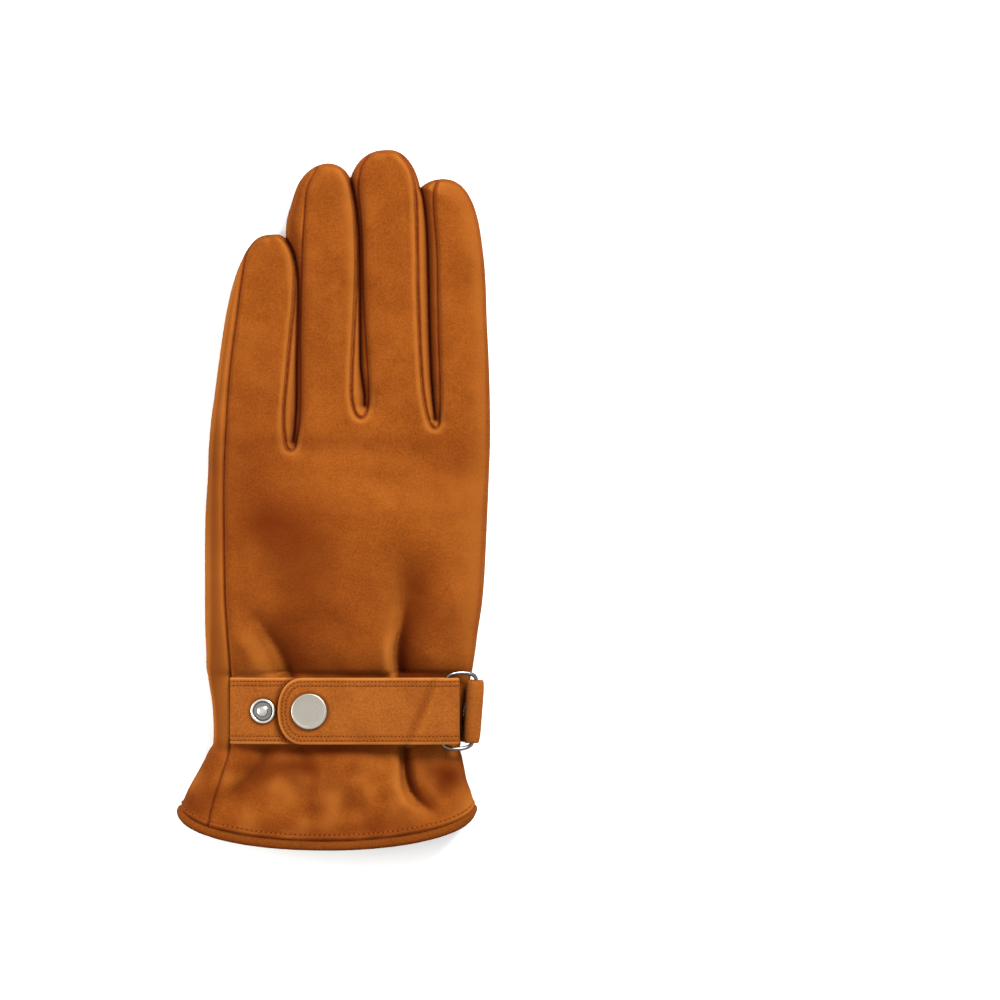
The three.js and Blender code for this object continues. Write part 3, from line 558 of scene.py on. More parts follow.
# %% Round the section from the edges
# y and the distance from the hand's side over which the leather rounds off
SIDE_ROUNDING = [
    (-112.6, 46.0), (-60.0, 46.0), (-20.0, 44.0), (5.0, 30.0), (30.0, 13.0), (60.0, 11.5),
]
side_reach = smooth_row(PLAN_Y, column(SIDE_ROUNDING, 0), column(SIDE_ROUNDING, 1))
FINGER_ROUNDING, PALM_ROUNDING = 10.5, 8.0
TOP_POWER, PALM_POWER = 2.5, 2.4
side_share, finger_share = to_side / side_reach, to_finger / FINGER_ROUNDING
SHARE_BLEND = 0.25
blend = np.maximum(SHARE_BLEND - np.abs(side_share - finger_share), 0) ** 2 / (4 * SHARE_BLEND)
blend = blend * smoothstep(0.0, 0.4, np.minimum(side_share, finger_share))
fields = {
    "edge": np.minimum(side_share, finger_share) - blend,
    "palm_side": np.minimum(to_side, to_finger) / PALM_ROUNDING,
    "widest": widest,
    "rise": top_rise,
    "drop": palm_drop,
}
print("the sides round off over", round(float(side_reach.min()), 1), "mm and more")


# %% The form
def short_of_edge(share):
    """1 at the edge and 0 where the rounding ends."""
    return np.maximum(0, 1 - share)


def form_from(found, z):
    """The form's value from the plan's fields and a height."""
    above = z - found["widest"]
    top = short_of_edge(found["edge"]) ** TOP_POWER
    top = (top + (np.maximum(above, 0) / found["rise"]) ** TOP_POWER) ** (1 / TOP_POWER)
    low = short_of_edge(found["palm_side"]) ** PALM_POWER
    low = (low + (np.maximum(-above, 0) / found["drop"]) ** PALM_POWER) ** (1 / PALM_POWER)
    return np.where(above > 0, (top - 1) * found["rise"], (low - 1) * found["drop"])


def glove_form(x, y, z):
    """Below zero inside the glove's outer skin."""
    return form_from({name: look_up(field, x, y) for name, field in fields.items()}, z)


def top_height(x, y):
    """Height of the leather's upper skin at a place in the plan."""
    x, y = np.asarray(x, float), np.asarray(y, float)
    edge = short_of_edge(look_up(fields["edge"], x, y)) ** TOP_POWER
    rise = np.maximum(0, 1 - edge) ** (1 / TOP_POWER)
    return look_up(widest, x, y) + look_up(top_rise, x, y) * rise


print("height over the hand's middle:", round(float(top_height(0.0, -25.0)), 2))

# %% [markdown]
# ## A skin over the form
# A surface net puts one point in each small cube that the skin passes through, at the average
# of the places where the form crosses the cube's edges, and joins the points with four-sided
# faces. A few steps down the form's slope then move each point exactly onto the skin.


# %% Surface net
def surface_net(form, low, high, step):
    """Points and quads of the skin of a form inside a box."""
    axes = [np.arange(low[axis], high[axis] + step, step) for axis in range(3)]
    grid = np.meshgrid(*axes, indexing="ij", sparse=True)
    value = form(*grid).astype(np.float32)
    inside = value < 0
    cells = tuple(slice(0, size - 1) for size in value.shape)
    count = np.zeros([size - 1 for size in value.shape], np.int8)
    for offset in np.ndindex(2, 2, 2):
        count += inside[tuple(slice(o, o + s.stop) for o, s in zip(offset, cells))]
    # the cubes that the skin passes through
    mixed = (count > 0) & (count < 8)
    number = np.full(mixed.shape, -1, np.int64)
    number[mixed] = np.arange(mixed.sum())
    corner = np.argwhere(mixed)
    total, hits = np.zeros((len(corner), 3)), np.zeros(len(corner))
    quads = []
    for axis in range(3):
        unit = np.eye(3, dtype=int)[axis]
        across, up = np.eye(3, dtype=int)[(axis + 1) % 3], np.eye(3, dtype=int)[(axis + 2) % 3]
        for first in (0, 1):
            for second in (0, 1):
                near = corner + first * across + second * up
                far = near + unit
                a, b = value[tuple(near.T)], value[tuple(far.T)]
                crossed = (a < 0) != (b < 0)
                share = np.where(crossed, a / np.where(crossed, a - b, 1), 0)
                total += np.where(crossed[:, None], near + share[:, None] * unit, 0)
                hits += crossed
        # one quad for each grid edge that the skin crosses
        here = [slice(None)] * 3
        there = [slice(None)] * 3
        here[axis], there[axis] = slice(0, -1), slice(1, None)
        start = inside[tuple(here)]
        edge = start != inside[tuple(there)]
        edge[tuple(0 if n == (axis + 1) % 3 else slice(None) for n in range(3))] = False
        edge[tuple(0 if n == (axis + 2) % 3 else slice(None) for n in range(3))] = False
        place = np.argwhere(edge)
        place = place[np.all(place < np.array(mixed.shape), axis=1)]
        ring = [place, place - across, place - across - up, place - up]
        quad = np.stack([number[tuple(p.T)] for p in ring], axis=1)
        flip = ~start[tuple(place.T)]
        quad[flip] = quad[flip][:, ::-1]
        quads.append(quad)
    points = np.asarray(low) + step * total / hits[:, None]
    quads = np.vstack(quads)
    return points, quads[np.all(quads >= 0, axis=1)]


def ball_form(x, y, z):
    """Below zero inside a ball of radius 3, to try the net on."""
    return np.sqrt(x**2 + y**2 + z**2) - 3


ball_points, ball_quads = surface_net(ball_form, [-5] * 3, [5] * 3, 1.0)
print("points and faces of a small ball:", len(ball_points), len(ball_quads))

# %% Move the points onto the skin
PROBE, LEAST_STEEP, LONGEST_MOVE = 0.15, 0.05, 0.4


def onto_skin(form, points, rounds=3):
    """Moves points down the form's slope until they lie on its skin."""
    points = points.copy()
    for _ in range(rounds):
        slope = np.zeros_like(points)
        for axis in range(3):
            step = PROBE * np.eye(3)[axis]
            rise = form(*(points + step).T) - form(*(points - step).T)
            slope[:, axis] = rise / (2 * PROBE)
        steep = np.maximum((slope**2).sum(axis=1), LEAST_STEEP)
        move = -(form(*points.T) / steep)[:, None] * slope
        length = np.linalg.norm(move, axis=1, keepdims=True)
        points += move * np.minimum(1, LONGEST_MOVE / np.maximum(length, 1e-9))
    return points


SKIN_STEP = 0.8
FORM_LOW, FORM_HIGH = [-62.0, -132.0, -1.5], [60.0, 129.0, 28.0]
skin_points, skin_quads = surface_net(glove_form, FORM_LOW, FORM_HIGH, SKIN_STEP)
skin_points = onto_skin(glove_form, skin_points)
print("points and faces of the skin:", len(skin_points), len(skin_quads))

# %% [markdown]
# ## Where the seams run
# The back and the palm are sewn together along the little finger's side, where the palm's
# leather shows as a strip on the back. A narrow strip, the fourchette, is sewn between each two
# fingers. Each seam is a line in the plan, and each fourchette is what lies between two seams.

# %% The seams
SIDE_SEAM = [
    (-23.0, 100.0), (-26.6, 95.2), (-29.9, 91.0), (-31.7, 86.0), (-35.1, 61.2), (-37.2, 43.9),
    (-38.5, 21.6), (-39.0, 7.2), (-38.7, -14.4), (-38.2, -37.4), (-36.6, -60.0), (-36.3, -75.5),
    (-36.7, -87.8), (-39.8, -99.0), (-43.0, -109.1), (-44.8, -118.0), (-47.0, -132.0),
]
# down the left finger's seam, round the crotch and up the right finger's seam
FINGER_SEAMS = {
    "fourchette_little_ring": [
        (-20.6, 98.0), (-17.9, 94.6), (-15.8, 91.4), (-14.2, 87.6), (-13.4, 82.0), (-13.5, 76.0),
        (-14.0, 68.0), (-14.8, 61.0), (-16.6, 42.1), (-17.5, 30.2), (-17.0, 22.7), (-15.0, 18.0),
        (-12.9, 22.7), (-11.8, 30.2), (-11.6, 46.0), (-11.7, 61.2), (-11.2, 81.0), (-10.8, 91.8),
        (-10.2, 101.5), (-9.3, 111.2), (-6.5, 118.0), (-3.0, 124.0),
    ],
    "fourchette_ring_middle": [
        (0.6, 124.0), (4.4, 118.6), (6.1, 114.6), (7.3, 109.4), (8.2, 103.0), (8.7, 93.0),
        (8.8, 84.0), (8.5, 73.0), (7.7, 58.0), (6.9, 40.7), (7.3, 34.4), (10.1, 29.6),
        (12.6, 34.0), (12.9, 40.0), (12.2, 52.0), (11.3, 66.0), (10.8, 78.0), (10.5, 93.0),
        (9.9, 103.0), (9.2, 110.0), (9.4, 115.7), (10.6, 120.2), (13.6, 124.8), (15.0, 129.0),
    ],
    "fourchette_middle_index": [
        (22.0, 129.0), (24.3, 124.9), (28.0, 119.4), (29.6, 113.6), (30.2, 103.7), (30.5, 90.0),
        (30.8, 73.0), (31.9, 47.9), (32.9, 37.4), (34.8, 28.8), (36.9, 26.0), (38.3, 29.4),
        (38.5, 40.0), (38.1, 51.5), (37.6, 76.0), (37.3, 90.0), (36.5, 100.3), (36.1, 110.0),
        (37.3, 114.6), (39.0, 119.0),
    ],
}
# corners that close each strip's region beyond the fingertips
STRIP_CLOSERS = {
    "fourchette_little_ring": [(-3.0, 128.0), (-30.0, 128.0), (-24.0, 102.0)],
    "fourchette_ring_middle": [(14.0, 132.0), (0.0, 132.0)],
    "fourchette_middle_index": [(40.0, 132.0), (22.0, 132.0)],
}
STRIP_LOW, SEAM_FIELD = 2.6, 9.0

side_line = rounded_line(SIDE_SEAM)
side_away = distance_to(side_line, SEAM_FIELD)
left_region = inside_of(np.vstack([side_line, [(-90, -132), (-90, 100)]]))
side_signed = np.where(left_region, -side_away, side_away)
strip_signed = {}
seam_away = side_away.copy()
for name, points in FINGER_SEAMS.items():
    line = rounded_line(points)
    away = distance_to(line, SEAM_FIELD)
    seam_away = np.minimum(seam_away, away)
    region = inside_of(np.vstack([line, STRIP_CLOSERS[name]]))
    strip_signed[name] = np.where(region, away, -away)
print("seams:", 1 + len(FINGER_SEAMS))

# %% [markdown]
# ## A finer skin along the seams
# A seam is a narrow valley between two soft rolls, finer than the rest of the leather needs.
# The faces near the seams are divided once more. Then the points there are pushed in and out
# along the skin's own direction.


# %% Divide the faces near the seams
def point_directions(points, triangles):
    """The outward direction at each point, from the faces around it."""
    a, b, c = (points[triangles[:, corner]] for corner in range(3))
    face = np.cross(b - a, c - a)
    total = np.zeros_like(points)
    for corner in range(3):
        for axis in range(3):
            total[:, axis] += np.bincount(triangles[:, corner], face[:, axis], len(points))
    return unit(total)


def halved_near(points, quads, is_near):
    """Divides the edges whose two ends are both marked, and returns points and triangles."""
    mesh = bpy.data.meshes.new("work")
    mesh.from_pydata(points.tolist(), [], quads.tolist())
    shape = bmesh.new()
    shape.from_mesh(mesh)
    edges = [e for e in shape.edges if is_near[e.verts[0].index] and is_near[e.verts[1].index]]
    bmesh.ops.subdivide_edges(shape, edges=edges, cuts=1, use_grid_fill=True)
    bmesh.ops.triangulate(shape, faces=shape.faces[:])
    shape.verts.index_update()
    new_points = np.array([v.co for v in shape.verts])
    triangles = np.array([[v.index for v in f.verts] for f in shape.faces])
    shape.free()
    bpy.data.meshes.remove(mesh)
    return new_points, triangles


HEM_MIDDLE, HEM_HALF, PALM_HANG, BINDING_ROOM = -2.3, 53.3, 0.35, 0.9


def above_hem(x, y, z, turn=0.01):
    """How far a place is above the hem's edge, which hangs lower on the back than on the palm."""
    share = np.clip((x - HEM_MIDDLE) / HEM_HALF, -1, 1)
    on_back = smoothstep(0.0, turn, z - look_up(widest, x, y))
    hang = PALM_HANG + (1 - PALM_HANG) * on_back
    return y - (HEM_Y - HEM_SAG * np.sqrt(1 - share**2) * hang) - BINDING_ROOM


FINE_REACH, HEM_BAND, SLIT_BAND, STEEP_FOLD, BELOW_WIDEST = 2.4, 4.0, 1.6, 0.75, 1.5
x, y, z = skin_points.T
fold_slope = np.hypot(*np.gradient(fold_lift, CELL))
is_fine = look_up(seam_away, x, y) < FINE_REACH
is_fine = is_fine | (np.abs(above_hem(x, y, z) - HEM_BAND) < FINE_REACH)
is_fine = is_fine | (look_up(to_slit, x, y) < SLIT_BAND)
is_fine = is_fine | (look_up(fold_slope, x, y) > STEEP_FOLD)
is_fine = is_fine & (z > look_up(widest, x, y) - BELOW_WIDEST)
skin_points, skin_triangles = halved_near(skin_points, skin_quads, is_fine)
skin_points = onto_skin(glove_form, skin_points, rounds=2)
print("points that lie near a seam or a fold:", int(is_fine.sum()))

# %% [markdown]
# Thread pulls the leather down into a line and the doubled edges swell up beside it. At the hem
# the leather is doubled too, up to the line of stitches. All of that is one number at each point,
# the lift, which is quicker to shape than a groove modelled by hand.

# %% Press the seams in
SEAM_DEPTH, SEAM_WIDTH = 0.85, 0.45
ROLL_HEIGHT, ROLL_AWAY, ROLL_WIDTH, OUTER_ROLL_WIDTH = 0.62, 1.8, 1.05, 2.8
STRIP_ROLL, SIDE_STRIP_ROLL = 0.4, 0.5
HEM_SEAM_UP, HEM_STITCH_UP = 2.4, 4.7
HEM_DOUBLED, HEM_RIDGE, HEM_STITCH_DEPTH, HEM_SEAM_DEPTH = 0.35, 0.2, 0.34, 0.7

directions = point_directions(skin_points, skin_triangles)
x, y, z = skin_points.T
away = look_up(seam_away, x, y)
on_top = smoothstep(-2.5, 0.5, z - look_up(widest, x, y))
on_top = on_top * smoothstep(0.3, 2.2, look_up(to_outline, x, y))
in_strip = np.max([look_up(signed, x, y) for signed in strip_signed.values()], axis=0) > 0
valley = SEAM_DEPTH * ridge(away, SEAM_WIDTH)
roll_width = np.where(away > ROLL_AWAY, OUTER_ROLL_WIDTH, ROLL_WIDTH)
roll = ROLL_HEIGHT * ridge(away - ROLL_AWAY, roll_width)
# the strips between the fingers and the palm's strip at the side lie flatter
on_side_strip = look_up(side_signed, x, y) < 0
roll = roll * np.where(in_strip, STRIP_ROLL, np.where(on_side_strip, SIDE_STRIP_ROLL, 1.0))
from_hem = above_hem(x, y, z)
hem_fold = HEM_DOUBLED * (1 - smoothstep(HEM_STITCH_UP, HEM_STITCH_UP + 1.1, from_hem))
hem_fold = hem_fold + HEM_RIDGE * ridge(from_hem - HEM_BAND, 0.6)
stitch_line = HEM_STITCH_DEPTH * ridge(from_hem - HEM_STITCH_UP, 0.4)
stitch_line = stitch_line + HEM_SEAM_DEPTH * ridge(from_hem - HEM_SEAM_UP, 0.5)
lift = (roll - valley) * on_top + hem_fold - stitch_line
skin_points = skin_points + directions * lift[:, None]
print("points and triangles after the seams:", len(skin_points), len(skin_triangles))

# %% [markdown]
# ## Cutting the leather into its pieces
# The skin is cut along its seams, as the glove was cut from the hide. A cut goes exactly where
# a signed distance is zero: each triangle that the line crosses is divided there.


# %% Cut along a signed distance
def cut_along(points, triangles, signed):
    """Divides triangles where the signed value is zero. Returns points, triangles, values."""
    signed = np.where(np.abs(signed) < 0.02, 0.0, signed)
    side = np.sign(signed).astype(int)[triangles]
    crossed = (side.min(axis=1) < 0) & (side.max(axis=1) > 0)
    whole, work, side = triangles[~crossed], triangles[crossed], side[crossed]
    touching = (side == 0).any(axis=1)
    total = side.sum(axis=1, keepdims=True)
    special = np.where(touching[:, None], side == 0, side == -np.sign(total))
    turn = (np.argmax(special, axis=1)[:, None] + np.arange(3)) % 3
    work = np.take_along_axis(work, turn, axis=1)
    one, two, three = work.T
    pairs = np.vstack([
        np.stack([two, three], axis=1)[touching],
        np.stack([one, two], axis=1)[~touching],
        np.stack([one, three], axis=1)[~touching],
    ])
    edges, which = np.unique(np.sort(pairs, axis=1), axis=0, return_inverse=True)
    which = which.ravel()
    start, end = signed[edges[:, 0]], signed[edges[:, 1]]
    share = (start / (start - end))[:, None]
    added = points[edges[:, 0]] * (1 - share) + points[edges[:, 1]] * share
    fresh = len(points) + which
    n_touch, n_lone = int(touching.sum()), int((~touching).sum())
    mid = fresh[:n_touch]
    first, second = fresh[n_touch : n_touch + n_lone], fresh[n_touch + n_lone :]
    a, b, c = one[touching], two[touching], three[touching]
    d, e, f = one[~touching], two[~touching], three[~touching]
    parts = [(a, b, mid), (a, mid, c), (d, first, second), (first, e, f), (first, f, second)]
    new = [np.stack(part, axis=1) for part in parts]
    points = np.vstack([points, added])
    signed = np.append(signed, np.zeros(len(added)))
    return points, np.vstack([whole] + new), signed


on_side_seam = cut_along(skin_points, skin_triangles, look_up(side_signed, *skin_points.T[:2]))
print("points that a cut along the side seam adds:", len(on_side_seam[0]) - len(skin_points))


# %% Part a skin in two
def kept(points, triangles, wanted):
    """Only the wanted triangles, with the points that they use."""
    triangles = triangles[wanted]
    used, renumbered = np.unique(triangles, return_inverse=True)
    return points[used], renumbered.reshape(-1, 3)


def both_sides(points, triangles, value_of):
    """Cuts a skin where a value of place is zero, into what is above zero and the rest."""
    points, triangles, signed = cut_along(points, triangles, value_of(*points[:, :3].T))
    above = signed[triangles].sum(axis=1) > 0
    return kept(points, triangles, above), kept(points, triangles, ~above)


# the points carry their outward direction along as three more columns
whole_skin = np.hstack([skin_points, point_directions(skin_points, skin_triangles)])
leather, below_hem = both_sides(whole_skin, skin_triangles, above_hem)
hem_skin = leather


THUMB_GAP, OVER_WIDEST = 0.1, 1.0


def beside_thumb(x, y, z):
    """Above zero outside the thumb, and everywhere on the back."""
    return np.maximum(thumb_form(x, y, z) - THUMB_GAP, z - look_up(widest, x, y) - OVER_WIDEST)


leather, under_thumb = both_sides(*leather, beside_thumb)
print("triangles cut off at the hem and at the thumb:", len(below_hem[1]), len(under_thumb[1]))

# %% [markdown]
# The three strips are cut out first, each down to a little above the table. The back then ends at
# the side seam and, at the index finger's edge, at the widest height. What is left is the palm.


# %% Cut the pieces from the leather
def strip_value(name, x, y, z):
    """Above zero in one of the strips between the fingers."""
    return np.minimum(look_up(strip_signed[name], x, y), z - STRIP_LOW)


def back_value(x, y, z):
    """Above zero on the back, down to the widest height and up to the side seam."""
    return np.minimum(look_up(side_signed, x, y), z - look_up(widest, x, y))


pieces = {}
for name in FINGER_SEAMS:
    pieces[name], leather = both_sides(*leather, partial(strip_value, name))
pieces["back_panel"], pieces["palm_panel"] = both_sides(*leather, back_value)
for name, (points, triangles) in pieces.items():
    print(name, len(triangles), "triangles")

# %% [markdown]
# ## The thumb's skin and the inside of the leather
# The thumb is what its own form leaves outside the hand. The leather is a little over a
# millimetre thick, so its inside is the same form drawn in by that much. The inside shows only
# in the open hem, so its net is coarser. A solidify modifier would be shorter, but it would
# cross over itself in the slits.

# %% The thumb's skin
THUMB_LOW, THUMB_HIGH, THUMB_STEP = [-26.0, -66.0, -1.5], [56.0, 10.0, 21.0], 1.1


def triangles_of(quads):
    """Two triangles for each four-sided face."""
    return np.vstack([quads[:, [0, 1, 2]], quads[:, [0, 2, 3]]])


points, quads = surface_net(thumb_form, THUMB_LOW, THUMB_HIGH, THUMB_STEP)
points = onto_skin(thumb_form, points)
triangles = triangles_of(quads)
thumb_skin = np.hstack([points, point_directions(points, triangles)])
pieces["thumb"], in_the_hand = both_sides(thumb_skin, triangles, glove_form)
print("triangles of the thumb, and those inside the hand:", len(pieces["thumb"][1]),
      len(in_the_hand[1]))

# %% The inside of the leather
LEATHER, HEM_LEATHER, HEM_THINNING, INNER_STEP = 1.3, 0.5, 6.0, 1.7
INNER_TURN, INNER_SET_BACK = 5.0, 0.4


def inside_hem(x, y, z):
    """The inside's hem rises smoothly from the back to the palm, behind the binding."""
    return above_hem(x, y, z, turn=INNER_TURN) - INNER_SET_BACK


def inner_form(x, y, z):
    """The outer form drawn in by the leather, which is thinner where the binding closes it."""
    full = smoothstep(0.0, HEM_THINNING, inside_hem(x, y, z))
    return glove_form(x, y, z) + HEM_LEATHER + (LEATHER - HEM_LEATHER) * full


points, quads = surface_net(inner_form, FORM_LOW, FORM_HIGH, INNER_STEP)
points = onto_skin(inner_form, points)
triangles = triangles_of(quads)[:, ::-1]
inner_skin = np.hstack([points, point_directions(points, triangles)])
inner_skin = both_sides(inner_skin, triangles, inside_hem)[0]
print("triangles inside:", len(inner_skin[1]))
inner_parts = both_sides(*inner_skin, back_value)
for name, (points, triangles) in zip(("back_panel", "palm_panel"), inner_parts):
    outer_points, outer_triangles = pieces[name]
    both = np.vstack([outer_triangles, triangles + len(outer_points)])
    pieces[name] = (np.vstack([outer_points, points]), both)

# %% [markdown]
# ## Small helpers for materials
# A material is a little network of nodes. Short helpers add a node, a sum or a product, a noise
# pattern whose size is given in millimetres, a mix of two colours, and a mark that the mesh
# carries. With them each material reads like a recipe.


# %% Add nodes to a material
def add_node(material, kind, **settings):
    """A new node with its sockets or its own settings filled in."""
    node = material.node_tree.nodes.new(kind)
    for name, value in settings.items():
        if name in node.inputs:
            node.inputs[name].default_value = value
        else:
            setattr(node, name, value)
    return node


def math_node(material, operation, first, second):
    """The outcome of a sum or a product of numbers and sockets."""
    node = add_node(material, "ShaderNodeMath", operation=operation)
    for place, value in enumerate((first, second)):
        if isinstance(value, (int, float)):
            node.inputs[place].default_value = value
        else:
            material.node_tree.links.new(value, node.inputs[place])
    return node.outputs[0]


def noise_at(material, coordinates, size_mm, detail, rough=0.5):
    """A noise pattern fixed to the object, with marks of about the given size."""
    noise = add_node(material, "ShaderNodeTexNoise")
    noise.inputs["Scale"].default_value = 1 / (size_mm * METRES)
    noise.inputs["Detail"].default_value = detail
    noise.inputs["Roughness"].default_value = rough
    material.node_tree.links.new(coordinates, noise.inputs["Vector"])
    return noise.outputs["Fac"]


def mixed_colour(material, amount, first, second):
    """One colour where the amount is 0 and another where it is 1. Sockets or colours."""
    mix = add_node(material, "ShaderNodeMix", data_type="RGBA", blend_type="MIX")
    material.node_tree.links.new(amount, mix.inputs["Factor"])
    for place, colour in (("A", first), ("B", second)):
        if isinstance(colour, tuple):
            mix.inputs[place].default_value = (*colour, 1)
        else:
            material.node_tree.links.new(colour, mix.inputs[place])
    return mix.outputs["Result"]


def mark_on(material, label):
    """A number that each point of the mesh carries under the given label."""
    return add_node(material, "ShaderNodeAttribute", attribute_name=label).outputs["Fac"]


print("size of a noise of 2 mm in the shader:", 1 / (2 * METRES))

# %% [markdown]
# ## Suede
# Suede is the flesh side of the leather, brushed until it has a short nap. It has no gloss. Its
# colour is a patchwork where the nap lies one way or the other, with a fine grain on top. Three
# marks on the points change it. One makes it lighter, with painted highlight, in pale random
# mottles and along the strap's cut edge. One makes it darker, with painted shade and in dark
# random mottles. The last makes it darker still where thread has pulled it into a line, and it
# paints shade down the slits between the fingers.

# %% The colours and sizes of suede
# linear red, green and blue
SUEDE_BASE = (0.104, 0.0250, 0.0024)
STRAP_BASE = (0.126, 0.0350, 0.0046)
# the seams' thread, and painted shade down the slits between the fingers
SUEDE_DARK = (0.046, 0.0030, 0.0008)
CUT_EDGE = (0.200, 0.0720, 0.0150)
# painted shade, which also gives the dark of the random mottling
SHADE_AND_MOTTLE_DARK = (0.038, 0.0048, 0.0003)
# painted highlight, which also gives the pale of the random mottling
HIGHLIGHT_AND_PALE_TONE = (0.150, 0.0450, 0.0065)
# the grain's darkest and lightest colour, against the base's red, green and blue
GRAIN_LOW, GRAIN_HIGH = (0.66, 0.66 * 0.94, 0.66 * 0.9), (1.34, 1.34 * 1.05, 1.34 * 1.3)
PATCH_SIZE, NAP_SIZE, GRAIN_SIZE = 20.0, 3.0, 0.7
PATCH_SHARE, NAP_SHARE, GRAIN_SHARE = 0.20, 0.12, 0.68
RAMP_START, RAMP_END = 0.36, 0.74
GRAIN_BUMP, NAP_BUMP, BUMP_STRENGTH, BUMP_DEPTH = 0.6, 0.35, 0.55, 0.35
print("shares of the pattern add up to", round(PATCH_SHARE + NAP_SHARE + GRAIN_SHARE, 2))


# %% The suede material
def suede_material(name, tone=1.0, base=SUEDE_BASE, rubbed=HIGHLIGHT_AND_PALE_TONE):
    """Suede in a lighter or darker tone of a base colour, with its own colour for the lighter mark.
    """
    material = bpy.data.materials.new(name)
    material.use_nodes = True
    links = material.node_tree.links
    shader = material.node_tree.nodes["Principled BSDF"]
    place = add_node(material, "ShaderNodeTexCoord").outputs["Object"]
    patches = noise_at(material, place, PATCH_SIZE, 1.0)
    nap = noise_at(material, place, NAP_SIZE, 2.0, 0.55)
    grain = noise_at(material, place, GRAIN_SIZE, 3.0, 0.75)
    blend = math_node(material, "MULTIPLY", patches, PATCH_SHARE)
    for part, share in ((nap, NAP_SHARE), (grain, GRAIN_SHARE)):
        blend = math_node(material, "ADD", blend, math_node(material, "MULTIPLY", part, share))
    ramp = add_node(material, "ShaderNodeValToRGB")
    ramp.color_ramp.elements[0].position = RAMP_START
    ramp.color_ramp.elements[1].position = RAMP_END
    for element, shares in zip(ramp.color_ramp.elements, (GRAIN_LOW, GRAIN_HIGH)):
        element.color = (*[share * tone * amount for share, amount in zip(shares, base)], 1)
    links.new(blend, ramp.inputs["Fac"])
    colour = ramp.outputs["Color"]
    # painted highlight, painted shade, and the seams' thread with painted shade in the slits
    for label, marked in (("rub", rubbed), ("nap", SHADE_AND_MOTTLE_DARK), ("seam", SUEDE_DARK)):
        colour = mixed_colour(material, mark_on(material, label), colour, marked)
    links.new(colour, shader.inputs["Base Color"])
    height = math_node(material, "MULTIPLY", grain, GRAIN_BUMP)
    height = math_node(material, "ADD", height, math_node(material, "MULTIPLY", nap, NAP_BUMP))
    bump = add_node(material, "ShaderNodeBump")
    bump.inputs["Strength"].default_value = BUMP_STRENGTH
    bump.inputs["Distance"].default_value = BUMP_DEPTH * METRES
    links.new(height, bump.inputs["Height"])
    links.new(bump.outputs["Normal"], shader.inputs["Normal"])
    shader.inputs["Roughness"].default_value = 1.0
    shader.inputs["Specular IOR Level"].default_value = 0.02
    shader.inputs["Sheen Weight"].default_value = 0.03
    shader.inputs["Sheen Roughness"].default_value = 0.45
    shader.inputs["Sheen Tint"].default_value = (1.0, 0.55, 0.22, 1)
    return material


SUEDE = suede_material("suede")
STRAP_SUEDE = suede_material("strap suede", 1.0, STRAP_BASE, CUT_EDGE)
STRIP_SUEDE = suede_material("strip suede", 0.96)
# a darker copy of the same suede: painted shade on the hem's roll
SHADED_BINDING_SUEDE = suede_material("binding suede", 0.72)
print("suede materials:", len([m for m in bpy.data.materials if "suede" in m.name]))

# %% [markdown]
# ## Painted shade and light
# Shade and light are painted into the suede's colour on top of the lamps' own shading. The
# hollows by the strap get painted shade, and the lips of the folds painted highlight. A few soft
# round patches and a few lines with a strength are laid over the plan for this. They are marks
# and not shapes.

# %% Patches of painted shade and light
# the painted light comes from this way in the plan, so a gentle slope that faces the other way
# gets painted shade
LIGHT_FROM = np.array([0.80, 0.60])
# painted shade: x, y, radius across, radius along, strength (below 0 is painted light)
SHADE_AND_LIGHT_PATCHES = [
    (-22.0, -7.6, 16.5, 9.5, 0.78),
    (-12.0, -21.0, 13.0, 13.0, 0.60),
    (-8.0, -42.0, 14.0, 12.0, 0.50),
    (-2.0, -59.0, 16.0, 4.0, 0.30),
    (31.0, -30.0, 6.5, 11.0, 0.68),
    (36.0, -43.0, 9.0, 8.0, 0.40),
    (37.0, -62.0, 10.0, 4.0, 0.36),
    (-2.0, 20.8, 42.0, 3.0, 0.24),
    (44.0, 12.0, 10.0, 11.0, 0.32),
    (-28.0, 16.0, 12.0, 20.0, 0.26),
    (-32.0, 8.0, 9.0, 9.0, 0.20),
    (-43.0, 9.0, 4.0, 16.0, 0.36),
    (-6.0, -89.2, 34.0, 2.8, 0.96),
    (-14.0, -95.2, 14.0, 3.6, 0.80),
    (-29.0, -99.5, 5.0, 6.0, 0.46),
    (-34.0, -105.0, 5.0, 5.0, 0.40),
    (-17.0, -103.7, 6.0, 4.5, -0.60),
    (0.5, -107.5, 5.0, 6.5, -0.60),
    (-26.0, -117.5, 16.0, 3.5, 0.20),
    (26.0, -113.0, 6.0, 3.5, -0.40),
    (48.0, -111.0, 5.0, 5.0, -0.30),
    (41.5, -99.0, 7.0, 6.5, 0.98),
    (32.0, -94.0, 3.5, 4.5, 0.46),
    (10.0, -28.0, 16.0, 14.0, 0.12),
    (-6.0, -101.0, 3.4, 9.0, 0.28),
    (13.0, -112.0, 5.0, 5.0, 0.30),
    (20.0, -117.0, 12.0, 4.0, 0.36),
    (0.0, -119.0, 60.0, 4.0, 0.36),
    (-49.0, -110.0, 9.0, 10.0, 0.46),
]
print("patches of nap:", len(SHADE_AND_LIGHT_PATCHES))
